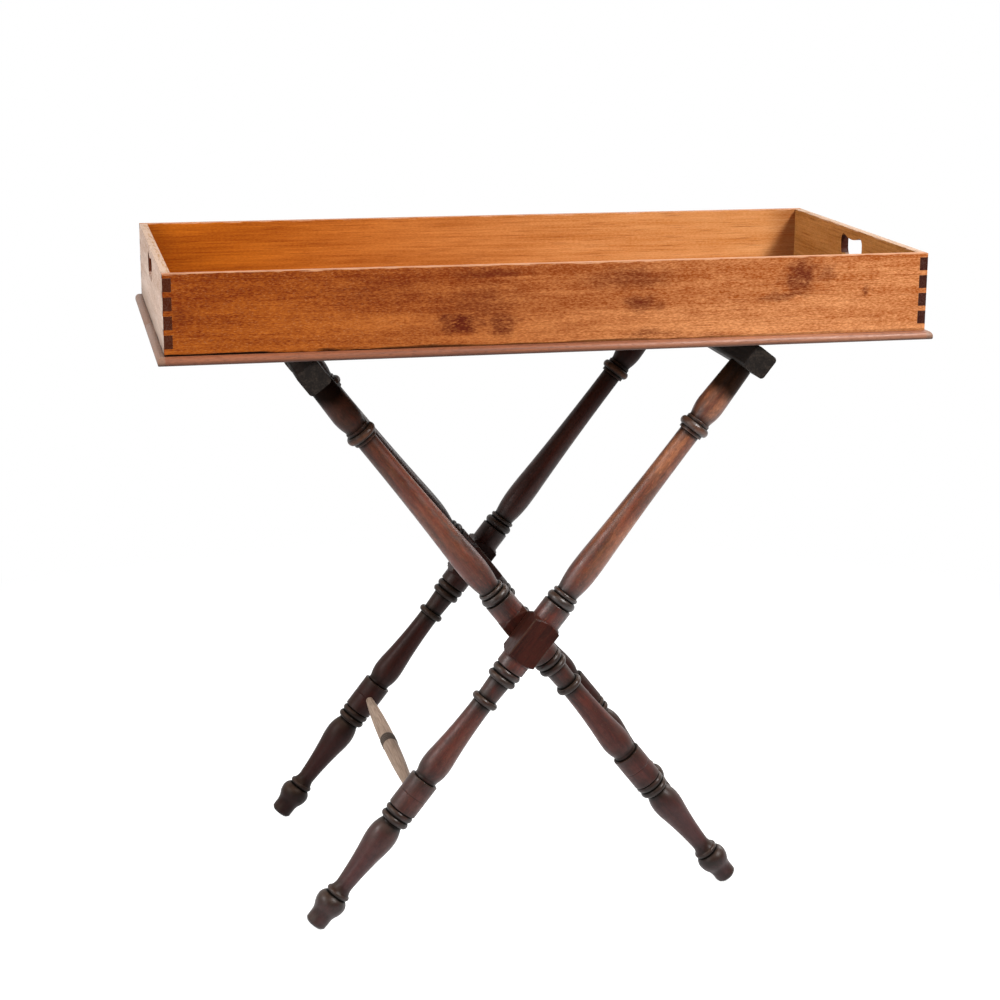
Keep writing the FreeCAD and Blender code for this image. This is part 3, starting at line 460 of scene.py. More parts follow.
def floor_board_wood(finish):
    """Thin pine boards: waxed above, faded at the rounded edge that shows as a moulding, bare below."""
    material, add = new_material("old_pine_floor_boards")
    place = add("TexCoord", out=3)
    x, y, z = add("SeparateXYZ", place).node.outputs
    facing_z = add("SeparateXYZ", add("TexCoord", out=1)).node.outputs[2]
    tone = figure(add, place, "x", 240, 22, 3.0, 2.0)
    streak = figure(add, place, "x", 150, 2.8, 2.0, 6.0)
    fleck = figure(add, place, "x", 7, 1.4, 2.0, 8.0)
    figured = add("MapRange", add("Math", tone, streak), 0.12, 0.42, 0.0, 0.8, **SMOOTH)
    above = add("Mix", figured, finish.floor, finish.inside_dark)
    below = add("Mix", figured, finish.underside, finish.nose_dark)
    wood = add("Mix", add("MapRange", facing_z, -0.8, -0.5), below, above)
    # the moulding is dull at the ends of the tray and dark along its lower edge
    # the moulding is paler towards the right: partly faded, partly painted light from the lamp at that side
    faded = add("MapRange", x, -0.1, 0.45, **SMOOTH)
    edge = add("Mix", faded, finish.nose, finish.nose_lit_faded)
    edge = add("Mix", figured, edge, finish.nose_dark)
    at_end = add("MapRange", add("Math", x, operation="ABSOLUTE"), 0.4555, 0.458, 0.0, 0.85)
    edge = add("Mix", at_end, edge, finish.nose_end)
    nose = add("MapRange", past_edges(add, x, y, NOSE_X, NOSE_Y), 0.0, 0.0005)
    wood = add("Mix", nose, wood, edge)
    low = add("MapRange", z, 0.7295, 0.7262, 0.0, 0.7)
    wood = add("Mix", add("Math", low, nose), wood, finish.dirt)
    pores = add("MapRange", fleck, 0.48, 0.68, 0.0, 0.5)
    wood = add("Mix", pores, wood, PORE_SHADE, blend_type="MULTIPLY")
    rough = add("MapRange", fleck, 0.3, 0.7, 0.45, 0.62)
    relief = add("Math", streak, fleck, operation="ADD")
    finish_surface(add, wood, rough, relief, 0.14)
    return material


def leg_wood(finish):
    """Stained beech legs under old wax: red-brown, rubbed and painted lighter on the long swells, grey at the
    beads.

    The colours follow the turning: the attribute turned_at is the place on the leg before it leans,
    turned_height its height above the crossing, and turned_wear holds how busy the turning is, how deep a
    groove is, how proud a crown is and, as alpha, a share of wear and painted light for that leg.
    """
    material, add = new_material("waxed_beech_legs")
    place = add("Attribute", out=1, attribute_name="turned_at")
    wear = add("Attribute", out=0, attribute_name="turned_wear")
    busy, groove, crown = add("SeparateColor", wear).node.outputs
    wear_and_light = wear.node.outputs["Alpha"]
    height = add("Attribute", out=2, attribute_name="turned_height")
    off_middle = add("Math", height, operation="ABSOLUTE")
    tone = figure(add, place, "z", 70, 12, 3.0)
    streak = figure(add, place, "z", 45, 1.8, 2.0, 3.3)
    rub = figure(add, place, "z", 75, 16, 4.0, 6.1)
    blot = figure(add, place, "z", 9, 7, 3.0, 8.8)
    speck = figure(add, place, "z", 4.5, 1.3, 3.0, 12.4)

    # grain and flecks, stronger on the legs with more wear and painted light
    figured = add("Math", tone, 1.8, streak, operation="MULTIPLY_ADD")
    grain = add("MapRange", wear_and_light, 0.1, 0.45, 0.3, 1.4)
    centred = add("Math", speck, 0.5, operation="SUBTRACT")
    figured = add("Math", centred, grain, figured, operation="MULTIPLY_ADD")
    figured = add("MapRange", figured, 0.95, 1.85, **SMOOTH)
    most = add("MapRange", wear_and_light, 0.1, 0.45, 0.08, 0.4)
    fleck = add("MapRange", speck, 0.56, 0.72, 0.0, most)

    # wear and painted light on the long swells, growing upwards and away from the block, most on the lit
    # outer front leg
    rubbed = add("MapRange", rub, 0.36, 0.66, 0.12, 0.65, **SMOOTH)
    upper = add("MapRange", height, -0.05, 0.3, 0.3, 1.45)
    broken = add("MapRange", speck, 0.32, 0.68, 1.2, 0.55)
    tapering = add("MapRange", off_middle, 0.05, 0.17)
    for share in (upper, broken, tapering, wear_and_light):
        rubbed = add("Math", rubbed, share)

    # darker wood low down and at the block, and painted shade over the rear legs and at the tops of all but
    # the outer front leg, where the tray's shadow falls
    low = add("MapRange", height, 0.15, -0.35, 0.0, 0.8)
    block = add("MapRange", off_middle, BLOCK_LENGTH * MM * 0.56, BLOCK_LENGTH * MM * 0.48, 0.0, 0.7)
    shaded_leg = add("MapRange", wear_and_light, 0.4, 0.1, 0.0, 0.7)
    kept = add("Math", 1.0, wear_and_light, operation="SUBTRACT")
    shaded_top = add("MapRange", height, 0.22, 0.36, 0.0, kept)

    # old wax about the beads; dust and painted highlights on their crowns, and dust and painted sheen on what
    # faces up
    patch = add("MapRange", blot, 0.3, 0.7, -0.25, 0.25)
    waxed = add("Math", busy, patch, operation="ADD", use_clamp=True)
    waxed = add("Math", waxed, 0.95)
    crest = add("Mix", add("MapRange", height, 0.33, 0.2), finish.leg_wear_and_light, finish.dust)
    crest_dust_and_highlight = add("Math", add("Math", crown, 2.5, operation="POWER"), blot)
    crest_dust_and_highlight = add("Math", crest_dust_and_highlight, 0.8, use_clamp=True)
    up = add("SeparateXYZ", add("TexCoord", out=1)).node.outputs[2]
    dust_and_top_sheen = add("MapRange", up, 0.1, 0.7)
    held = add("Math", busy, 0.9, 0.2, operation="MULTIPLY_ADD")
    for share in (blot, held):
        dust_and_top_sheen = add("Math", dust_and_top_sheen, share)

    # painted shadow of the tray blackens the tops of the legs, and the grooves are black too
    ragged = add("Math", rub, 0.03, height, operation="MULTIPLY_ADD")
    shadow_and_grooves = add("MapRange", ragged, 0.388, 0.408, 0.0, 0.9, **SMOOTH)
    shadow_and_grooves = add("Math", shadow_and_grooves, groove, operation="MAXIMUM")

    wood = add("Mix", figured, finish.leg, finish.leg_grain_and_shade)
    layers = ((fleck, finish.leg_wear_and_light), (rubbed, finish.leg_wear_and_light), (low, finish.leg_low),
              (block, finish.leg_grain_and_shade), (shaded_leg, finish.leg_grain_and_shade), (shaded_top, finish.leg_grain_and_shade),
              (waxed, finish.soot), (crest_dust_and_highlight, crest), (dust_and_top_sheen, finish.dust), (shadow_and_grooves, BLACK_SHADOW_AND_GROOVES))
    for share, colour in layers:
        wood = add("Mix", share, wood, colour)

    # polish, more above than below and least where it is black
    rough = add("MapRange", blot, 0.3, 0.7, 0.3, 0.5)
    high = add("MapRange", height, -0.12, 0.1, 0.28, 0.58)
    high = add("Math", high, add("MapRange", wear_and_light, 0.1, 0.45, 0.4, 1.0))
    polish = add("MapRange", block, 0.0, 0.7, high, 0.1)
    unlit = add("MapRange", shadow_and_grooves, 0.0, 0.9, 1.0, 0.1)
    dimmed = add("MapRange", shaded_top, 0.0, 0.55, 1.0, 0.4)
    touched = add("MapRange", crown, 0.0, 1.0, 1.0, 1.2)
    for share in (unlit, dimmed, touched):
        polish = add("Math", polish, share)
    relief = add("Math", streak, 0.3, blot, operation="MULTIPLY_ADD")
    finish_surface(add, wood, rough, relief, 0.06, {"Specular IOR Level": polish})
    return material


def rail_wood(finish):
    """Beech rails in a dark, dull stain, rubbed along the edges."""
    material, add = new_material("dark_stained_beech_rails")
    place = add("TexCoord", out=3)
    streak = figure(add, place, "y", 80, 2.4, 3.0)
    blot = figure(add, place, "y", 14, 7, 3.0, 4.0)
    worn = add("MapRange", add("Math", streak, blot), 0.18, 0.4, **SMOOTH)
    wood = add("Mix", worn, finish.rail, finish.rail_worn)
    rough = add("MapRange", blot, 0.3, 0.7, 0.5, 0.7)
    relief = add("Math", streak, blot, operation="ADD")
    finish_surface(add, wood, rough, relief, 0.2, {"Specular IOR Level": 0.15})
    return material


def stretcher_wood(finish):
    """Bare beech, faded pale and dusty, with a band of dark rings at the middle."""
    material, add = new_material("faded_beech_stretchers")
    place = add("TexCoord", out=3)
    y = add("SeparateXYZ", place).node.outputs[1]
    streak = figure(add, place, "y", 50, 1.6, 3.0)
    blot = figure(add, place, "y", 20, 6, 3.0, 2.0)
    figured = add("MapRange", streak, 0.4, 0.68, **SMOOTH)
    wood = add("Mix", figured, finish.stretcher, finish.stretcher_dark)
    dull = add("MapRange", y, 0.05, -0.17, 0.0, 0.4)
    wood = add("Mix", dull, wood, finish.stretcher_dark)
    middle = add("Math", y, operation="ABSOLUTE")
    ragged = add("Math", blot, 0.0012, middle, operation="MULTIPLY_ADD")
    band = add("MapRange", ragged, 0.0132, 0.0122, 0.0, 0.9)
    wood = add("Mix", band, wood, finish.stretcher_band)
    rough = add("MapRange", blot, 0.3, 0.7, 0.55, 0.75)
    finish_surface(add, wood, rough, streak, 0.15, {"Specular IOR Level": 0.3})
    return material


def strap_weave(finish):
    """Jute webbing: a plain weave of coarse threads, with a dark stripe near each edge.

    The attribute woven_at is the place on the strap: across it and along it.
    """
    material, add = new_material("woven_jute_webbing")
    place = add("Attribute", out=1, attribute_name="woven_at")
    across, along, _ = add("SeparateXYZ", place).node.outputs
    pitch = math.pi * 1000.0 / THREAD_PITCH
    warp, weft = [add("Math", add("Math", way, pitch), operation="SINE") for way in (across, along)]
    warp_high, weft_high, from_middle = [
        add("Math", wave, operation="ABSOLUTE") for wave in (warp, weft, across)]
    side = add("MapRange", add("Math", warp, weft), -0.2, 0.2)
    height = add("Mix", side, weft_high, warp_high, data_type="FLOAT")
    stripe = add("MapRange", from_middle, 0.0145, 0.0155)
    stripe = add("Math", stripe, add("MapRange", from_middle, 0.0195, 0.0205, 1.0, 0.0))
    fray = add("TexNoise", place, 400.0, 3.0, 0.7)
    cloth = add("Mix", stripe, finish.webbing, finish.webbing_dark)
    shade = add("MapRange", add("Math", height, fray), 0.1, 0.5, 0.8, 0.0)
    cloth = add("Mix", shade, cloth, THREAD_SHADE, blend_type="MULTIPLY")
    finish_surface(add, cloth, 0.85, height, 0.3, {"Specular IOR Level": 0.2})
    return material


def metal(name, colour, shine, patina):
    """Old metal: worn bright on the high spots, duller and darker where it has tarnished."""
    material, add = new_material(name)
    place = add("TexCoord", out=3)
    # tarnish lies in spots about 3 mm across
    spots = add("TexNoise", place, 1000.0 / 3.0, 3.0, 0.6)
    dull = add("MapRange", spots, 0.4, 0.65, 0.0, 0.8, **SMOOTH)
    base = add("Mix", dull, colour, patina)
    rough = add("MapRange", spots, 0.35, 0.7, shine, shine + 0.3)
    finish_surface(add, base, rough, spots, 0.05, {"Metallic": 1.0})
    return material


def studio_floor(colour, room):
    """Pale matt studio floor: it keeps the shadow near the table and fades to white away from it.

    Gloss shows it dimmer towards the room before the table.
    """
    material, add = new_material("pale_studio_floor")
    place = add("TexCoord", out=3)
    far = add("VectorMath", place, operation="LENGTH")
    seen = add("LightPath")
    depth = add("SeparateXYZ", place).node.outputs[1]
    backdrop = add("MapRange", depth, -1.2, -0.2, room, 1.0)
    glossy = add("Math", backdrop, seen.node.outputs["Is Glossy Ray"])
    watched = seen
    for ray in (glossy, seen.node.outputs["Is Transmission Ray"]):
        watched = add("Math", watched, ray, operation="MAXIMUM")
    glow = add("Emission", None, add("Math", watched, FLOOR_LIFT))
    near = add("AddShader", add("BsdfDiffuse", colour), glow)
    white = add("Emission", None, 1.0)
    fade = add("Math", add("MapRange", far, 0.7, 1.6, **SMOOTH), watched)
    add("OutputMaterial", add("MixShader", fade, near, white))
    return material


def turned_line(start, dia, stretches):
    """Distance and radius along a chain of turned stretches, as two arrays.

    A step takes its diameter at once and keeps it. A straight stretch runs evenly to its end diameter, and a
    dish is one hollowed by a small depth. A round is an arc of a circle that is level at its thick end, a
    hollow an arc that is level at its thin end, and a bead an arc whose crown stands a share of its length
    above its shoulders.
    """
    share = np.linspace(0.0, 1.0, SAMPLES)
    radius = dia / 2
    at = start
    distances = []
    radii = []
    for form, length, end_dia in stretches:
        end = end_dia / 2
        radius = end if form == "step" else radius
        straight = radius + (end - radius) * share
        if form in ("straight", "step"):
            line = straight
        elif form == "dish":
            line = straight - FOOT_HOLLOW * 4 * share * (1 - share)
        elif form == "bead":
            crown = length * BEAD_CROWN
            bend = (length * length / 4 + crown * crown) / (2 * crown)
            line = end - bend + np.sqrt(bend * bend - ((share - 0.5) * length) ** 2)
            end -= crown
        else:
            rise = abs(end - radius)
            bend = (length * length + rise * rise) / (2 * rise)
            level_last = (end > radius) == (form == "round")
            run = length * (1 - share) if level_last else length * share
            drop = bend - np.sqrt(bend * bend - run * run)
            level = end if level_last else radius
            line = level - drop if form == "round" else level + drop
        distances.append(at + length * share)
        radii.append(line)
        at += length
        radius = end
    return np.concatenate(distances), np.concatenate(radii)


def softened(values, width):
    """A running mean with bell-shaped weights; width is in millimetres, and the end values are held."""
    spread = width / LINE_STEP
    reach = int(4 * spread)
    weights = np.exp(-0.5 * (np.arange(-reach, reach + 1) / spread) ** 2)
    return np.convolve(np.pad(values, reach, mode="edge"), weights / weights.sum(), mode="valid")


def even_line(distance, radius):
    """The same line with points a small even step apart along itself, and its sharp corners eased."""
    walked = np.concatenate([[0.0], np.cumsum(np.hypot(np.diff(distance), np.diff(radius)))])
    even = np.arange(0.0, walked[-1], LINE_STEP)
    return [softened(np.interp(even, walked, column), CORNER_EASE) for column in (distance, radius)]


def crowded(distance, radius, count):
    """Places along the line, as fractional positions, closer together where it turns quickly."""
    heading = np.unwrap(np.arctan2(np.gradient(radius), np.gradient(distance)))
    turning = softened(np.abs(np.gradient(heading)), TURNING_EASE)
    crowd = np.cumsum(turning + LEAST_CROWDING)
    crowd = (crowd - crowd[0]) / (crowd[-1] - crowd[0])
    return np.interp(np.linspace(0.0, 1.0, count), crowd, np.arange(len(distance)))


def picked(picks, *columns):
    """Each column of values along a line, read at the picked positions."""
    order = np.arange(len(columns[0]))
    return [np.interp(picks, order, column) for column in columns]


def turned_wear(radius):
    """Busyness, groove depth and crown height along a turned line, each from zero to one.

    Busyness is how far the radius leaves its own running mean nearby, spread a little further along. Each is
    one where it reaches its full height in millimetres.
    """
    busy = softened(np.abs(radius - softened(radius, 5.0)), 9.0)
    groove = softened(radius, 2.0) - radius
    crown = radius - softened(radius, 3.5)
    return [np.clip(height / full, 0.0, 1.0) for height, full in ((busy, 0.7), (groove, 0.5), (crown, 1.4))]


def squared(angle):
    """Distance from the axis to a square with rounded corners, by the angle about the axis."""
    fold = np.abs((angle + math.pi / 4) % (math.pi / 2) - math.pi / 4)
    flat = BLOCK_HALF_SIDE / np.cos(fold)
    centre = math.sqrt(2.0) * (BLOCK_HALF_SIDE - BLOCK_EDGE_ROUND)
    aside = centre * np.sin(math.pi / 4 - fold)
    inside = np.maximum(BLOCK_EDGE_ROUND ** 2 - aside ** 2, 0.0)
    rounded = centre * np.cos(math.pi / 4 - fold) + np.sqrt(inside)
    on_corner = BLOCK_HALF_SIDE * np.tan(fold) > BLOCK_HALF_SIDE - BLOCK_EDGE_ROUND
    return np.where(on_corner, rounded, flat)


def ring_angles():
    """Angles about a turning axis, closer together at the four corners of the block."""
    even = np.linspace(0.0, 2 * math.pi, SIDES, endpoint=False)
    return even + CORNER_CROWDING * np.sin(4 * even)


def smooth_mesh(name, points, faces):
    """A mesh of smooth faces."""
    mesh = bpy.data.meshes.new(name)
    mesh.from_pydata(points.tolist(), [], faces)
    mesh.polygons.foreach_set("use_smooth", np.ones(len(mesh.polygons), dtype=bool))
    return mesh


def ring_mesh(name, rings, poles):
    """A closed mesh from rings of points: quads from ring to ring, and a fan to a pole at each end."""
    count, sides, _ = rings.shape
    here = np.arange(count * sides).reshape(count, sides)
    beside = np.roll(here, -1, axis=1)
    quads = np.stack([here[:-1], beside[:-1], beside[1:], here[1:]], axis=-1).reshape(-1, 4)
    first = np.full(sides, count * sides)
    low_fan = np.stack([beside[0], here[0], first], axis=-1)
    high_fan = np.stack([here[-1], beside[-1], first + 1], axis=-1)
    points = np.concatenate([rings.reshape(-1, 3), poles])
    return smooth_mesh(name, points, quads.tolist() + low_fan.tolist() + high_fan.tolist())


def store(mesh, name, kind, field, values):
    """Keep a value for every vertex of a mesh as a named attribute."""
    attribute = mesh.attributes.new(name, kind, "POINT")
    attribute.data.foreach_set(field, np.ascontiguousarray(values, dtype=np.float32).ravel())


def add_piece(context, mesh, material):
    """Put a new mesh in the scene with its material."""
    mesh.materials.append(material)
    piece = bpy.data.objects.new(mesh.name, mesh)
    context.scene.collection.objects.link(piece)
    return piece


def dress_node(node, material):
    """Give a solid that stays as it is its finish."""
    solid = frame["nodes"][node]
    solid.data.materials.clear()
    solid.data.materials.append(material)
    return solid


def ease_edges(solid, width):
    """Merge a solid's loose triangles into whole faces and ease its sharp edges by a small width."""
    weld = solid.modifiers.new("weld", "WELD")
    weld.merge_threshold = 0.00001
    faces = solid.modifiers.new("faces", "DECIMATE")
    faces.decimate_type = "DISSOLVE"
    faces.angle_limit = math.radians(0.5)
    bevel = solid.modifiers.new("eased_edges", "BEVEL")
    bevel.width = width
    bevel.segments = 2
    bevel.limit_method = "ANGLE"
    bevel.angle_limit = math.radians(35.0)


def leg_rings():
    """A leg upright about its crossing, in millimetres: rings of points, the poles and the rings' wear.

    Outside the block a ring is a circle of the turned radius. In the block it is the square, cut back near
    the ends to the cone that the lathe leaves there.
    """
    upper_at, upper_radius = turned_line(BLOCK_LENGTH / 2, COLLAR_DIA, UPPER_TURNING)
    lower_at, lower_radius = turned_line(BLOCK_LENGTH / 2, COLLAR_DIA, LOWER_TURNING)
    half = BLOCK_LENGTH / 2
    slope_end = half - (BLOCK_CORNER_REACH - BLOCK_HALF_SIDE) / BLOCK_END_SLOPE
    block_at = np.array([-half, -slope_end, slope_end, half])
    block_radius = np.array([BLOCK_HALF_SIDE, BLOCK_CORNER_REACH, BLOCK_CORNER_REACH, BLOCK_HALF_SIDE])
    along = np.concatenate([-lower_at[::-1], block_at, upper_at])
    radius = np.concatenate([lower_radius[::-1], block_radius, upper_radius])
    along, radius = even_line(along, radius)
    flat_radius = np.where(np.abs(along) < half, COLLAR_DIA / 2, radius)
    picks = crowded(along, radius, RINGS)
    ring_along, ring_radius, *wear = picked(picks, along, radius, *turned_wear(flat_radius))
    ring_wear = np.repeat(np.stack(wear, axis=-1)[:, None, :], SIDES, axis=1)
    angle = ring_angles()
    reach = np.repeat(ring_radius[:, None], SIDES, axis=1)
    in_block = np.abs(ring_along)[:, None] < half
    reach = np.where(in_block, np.minimum(reach, squared(angle)[None, :]), reach)
    ring_wear[..., 2] = np.maximum(ring_wear[..., 2], in_block & (reach > BLOCK_HALF_SIDE * RUBBED_CORNER))
    height = np.repeat(ring_along[:, None], SIDES, axis=1)
    rings = np.stack([reach * np.cos(angle), reach * np.sin(angle), height], axis=-1)
    poles = np.array([[0.0, 0.0, ring_along[0]], [0.0, 0.0, ring_along[-1]]])
    return rings, poles, ring_wear


def leaning(points, side, y):
    """Upright points about the crossing, in millimetres, set on the stand in metres.

    Leaning turns them about the pivot, to the right for side 1 and to the left for -1. What would reach
    below the floor is worn level with it.
    """
    across, deep, along = np.moveaxis(points * MM, -1, 0)
    x = PIVOT[0] + across * math.cos(LEAN) + along * math.sin(LEAN) * side
    z = PIVOT[2] - across * math.sin(LEAN) * side + along * math.cos(LEAN)
    return np.stack([x, deep + y * MM, np.maximum(z, 0.0)], axis=-1)


def stretcher_rings(bare_reach):
    """A stretcher along its own axis, in millimetres: rings of points and the two poles."""
    half = (("straight", 0.75, 17.6), ("bead", 4.8, 21), ("step", 1.5, 17.6), ("bead", 4.8, 21),
            ("step", 0, 19.6), ("round", bare_reach - STRETCHER_BEADS, 10),
            ("straight", STRETCHER_TENON - STRETCHER_CHAMFER, 10), ("straight", STRETCHER_CHAMFER, 9))
    half_at, half_radius = turned_line(0.0, 17.6, half)
    along = np.concatenate([-half_at[::-1], half_at])
    radius = np.concatenate([half_radius[::-1], half_radius])
    along, radius = even_line(along, radius)
    ring_along, ring_radius = picked(crowded(along, radius, STRETCHER_RINGS), along, radius)
    angle = np.linspace(0.0, 2 * math.pi, STRETCHER_SIDES, endpoint=False)
    reach = np.repeat(ring_radius[:, None], len(angle), axis=1)
    height = np.repeat(ring_along[:, None], len(angle), axis=1)
    rings = np.stack([reach * np.sin(angle), height, reach * np.cos(angle)], axis=-1)
    poles = np.array([[0.0, ring_along[0], 0.0], [0.0, ring_along[-1], 0.0]])
    return rings, poles


def strap_half_line():
    """Half of a strap's middle line about the crossing, in millimetres, from the stand's middle to its end.

    It hangs a little in the middle, turns over the rail's upper edge by the lean, runs down the upper face,
    makes a quarter turn round the outer edge and ends on the outer side.
    """
    bend = RAIL_ROUND + STRAP_GAP + STRAP_THICKNESS / 2
    edge_along = RAIL_MIDDLE + RAIL_HALF_CORE
    edge_x = edge_along * math.sin(LEAN) - RAIL_HALF_CORE * math.cos(LEAN)
    edge_z = edge_along * math.cos(LEAN) + RAIL_HALF_CORE * math.sin(LEAN)
    far_x = edge_x + 2 * RAIL_HALF_CORE * math.cos(LEAN)
    far_z = edge_z - 2 * RAIL_HALF_CORE * math.sin(LEAN)
    level = np.linspace(0.0, 1.0, STRAP_POINTS["level"])
    sag = STRAP_SAG * (1 - level ** 2) ** 2
    turn_end = LEAN + math.pi / 2
    first = np.linspace(0.0, LEAN, STRAP_POINTS["first turn"])[1:]
    second = np.linspace(LEAN, turn_end, STRAP_POINTS["second turn"])
    tail = np.linspace(0.0, STRAP_TAIL, STRAP_POINTS["tail"])[1:]
    x = np.concatenate([edge_x * level, edge_x + bend * np.sin(first), far_x + bend * np.sin(second),
                        far_x + bend * math.sin(turn_end) + tail * math.cos(turn_end)])
    z = np.concatenate([edge_z + bend - sag, edge_z + bend * np.cos(first), far_z + bend * np.cos(second),
                        far_z + bend * math.cos(turn_end) - tail * math.sin(turn_end)])
    return x, z


def strap_mesh(name, y):
    """A strap as one sheet, its line carried across its width; returns the mesh and the line's length."""
    half_x, half_z = strap_half_line()
    line_x = np.concatenate([-half_x[:0:-1], half_x])
    line_z = np.concatenate([half_z[:0:-1], half_z])
    walked = np.concatenate([[0.0], np.cumsum(np.hypot(np.diff(line_x), np.diff(line_z)))])
    across = np.linspace(-STRAP_WIDTH / 2, STRAP_WIDTH / 2, STRAP_POINTS["across"])
    rows = len(line_x)
    columns = len(across)
    points = np.empty((rows, columns, 3))
    points[..., 0] = PIVOT[0] + line_x[:, None] * MM
    points[..., 1] = (y + across[None, :]) * MM
    points[..., 2] = PIVOT[2] + line_z[:, None] * MM
    here = np.arange(rows * columns).reshape(rows, columns)
    quads = np.stack([here[:-1, :-1], here[1:, :-1], here[1:, 1:], here[:-1, 1:]], axis=-1).reshape(-1, 4)
    mesh = smooth_mesh(name, points.reshape(-1, 3), quads.tolist())
    woven = np.zeros((rows, columns, 3))
    woven[..., 0] = across[None, :] * MM
    woven[..., 1] = walked[:, None] * MM
    store(mesh, "woven_at", "FLOAT_VECTOR", "vector", woven)
    return mesh, float(walked[-1]) * MM


def soft_lamp(context, name, place, width, watts):
    """A square soft lamp at a place, turned to the table."""
    lamp = bpy.data.lights.new(name, "AREA")
    lamp.shape = "SQUARE"
    lamp.size = width
    lamp.energy = watts
    holder = bpy.data.objects.new(name, lamp)
    holder.location = place
    holder.rotation_euler = (Vector(LAMP_AIM) - Vector(place)).to_track_quat("-Z", "Y").to_euler()
    context.scene.collection.objects.link(holder)


class TRAYTABLE_OT_stage(bpy.types.Operator):
    """Pale floor, white surroundings, soft lamps and the camera"""

    bl_idname = "traytable.stage"
    bl_label = "Stage"

    def execute(self, context):
        settings = context.scene.tray_table_stage
        self.lay_floor(context, settings)
        self.light(context, settings)
        self.set_camera(context, settings)
        context.scene.view_settings.view_transform = "Standard"
        return {"FINISHED"}

    def lay_floor(self, context, settings):
        """A wide square of floor just under the feet."""
        side = (-STAGE_REACH, STAGE_REACH)
        corners = [(x, y, -STAGE_DROP) for x in side for y in side]
        mesh = bpy.data.meshes.new("studio_floor")
        mesh.from_pydata(corners, [], [(0, 2, 3, 1)])
        mesh.materials.append(studio_floor(settings.floor, settings.room))
        floor = bpy.data.objects.new("studio_floor", mesh)
        context.scene.collection.objects.link(floor)

    def light(self, context, settings):
        """White surroundings that light softly, and the lamps."""
        world = bpy.data.worlds.new("white_surroundings")
        world.use_nodes = True
        world.node_tree.nodes.clear()
        add = partial(add_node, world.node_tree)
        way = add("SeparateXYZ", add("TexCoord"))
        backdrop = add("MapRange", way.node.outputs[1], -0.3, 0.3, settings.room, 1.0)
        seen = add("LightPath")
        glossy = seen.node.outputs["Is Glossy Ray"]
        mirrored = add("Math", glossy, seen.node.outputs["Is Transmission Ray"], operation="MAXIMUM")
        strength = add("Mix", mirrored, settings.surround, backdrop, data_type="FLOAT")
        strength = add("Mix", seen, strength, 1.0, data_type="FLOAT")
        add("OutputWorld", add("Background", (1.0, 1.0, 1.0), strength))
        context.scene.world = world
        for name, (place, width) in LAMPS.items():
            soft_lamp(context, f"{name}_lamp", place, width, getattr(settings, f"{name}_watts"))

    def set_camera(self, context, settings):
        """The camera that was fitted to the picture: yaw, then pitch, then a trace of roll."""
        turned = Euler((math.pi / 2 - settings.camera_pitch, 0.0, settings.camera_yaw)).to_matrix().to_4x4()
        turned @= Matrix.Rotation(settings.camera_roll, 4, "Z")
        lens = bpy.data.cameras.new("camera")
        lens.lens = settings.lens
        lens.sensor_width = 36.0
        lens.clip_end = 100.0
        camera = bpy.data.objects.new("camera", lens)
        camera.matrix_world = Matrix.Translation(settings.camera_place) @ turned
        context.scene.collection.objects.link(camera)
        context.scene.camera = camera


class TRAYTABLE_OT_side_boards(bpy.types.Operator):
    """The four dovetailed sides of the tray"""

    bl_idname = "traytable.side_boards"
    bl_label = "Side boards"

    def execute(self, context):
        finish = context.scene.tray_table_tray
        front = side_board_wood("old_pine_front_board", "x", finish, FRONT_STAINS)
        back = side_board_wood("old_pine_back_board", "x", finish, ())
        ends = side_board_wood("old_pine_end_boards", "y", finish, ())
        woods = {"tray_front": front, "tray_back": back, "tray_left_end": ends, "tray_right_end": ends}
        for node, wood in woods.items():
            ease_edges(dress_node(node, wood), finish.bevel)
        return {"FINISHED"}


class TRAYTABLE_OT_floor_boards(bpy.types.Operator):
    """The two floor boards with their rounded edge"""

    bl_idname = "traytable.floor_boards"
    bl_label = "Floor boards"

    def execute(self, context):
        finish = context.scene.tray_table_tray
        wood = floor_board_wood(finish)
        for node in ("tray_floor_front", "tray_floor_rear"):
            ease_edges(dress_node(node, wood), finish.floor_bevel)
        return {"FINISHED"}


class TRAYTABLE_OT_legs(bpy.types.Operator):
    """The four turned legs"""

    bl_idname = "traytable.legs"
    bl_label = "Legs"

    def execute(self, context):
        wood = leg_wood(context.scene.tray_table_stand)
        rings, poles, wear = leg_rings()
        # each leg: its node, its body, the side it leans to, its place and its share of wear and painted
        # light
        legs = (("outer_front_leg", "outer_frame", 1, -OUTER_LEG_Y, 1.0),
                ("outer_rear_leg", "outer_frame", 1, OUTER_LEG_Y, 0.1),
                ("inner_front_leg", "inner_frame", -1, -INNER_LEG_Y, 0.36),
                ("inner_rear_leg", "inner_frame", -1, INNER_LEG_Y, 0.1))
        for number, (node, body, side, y, wear_and_light) in enumerate(legs):
            mesh = ring_mesh(f"turned_{node}", leaning(rings, side, y), leaning(poles, side, y))
            upright = np.concatenate([rings.reshape(-1, 3), poles]) * MM
            store(mesh, "turned_at", "FLOAT_VECTOR", "vector", upright + LEG_APART * number)
            store(mesh, "turned_height", "FLOAT", "value", upright[:, 2])
            each = np.concatenate([wear.reshape(-1, 3), wear[[0, -1], 0]])
            each = np.column_stack([each, np.full(len(each), wear_and_light)])
            store(mesh, "turned_wear", "FLOAT_COLOR", "color", each)
            leg = add_piece(context, mesh, wood)
            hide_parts(node)
            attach(leg, body)
        return {"FINISHED"}


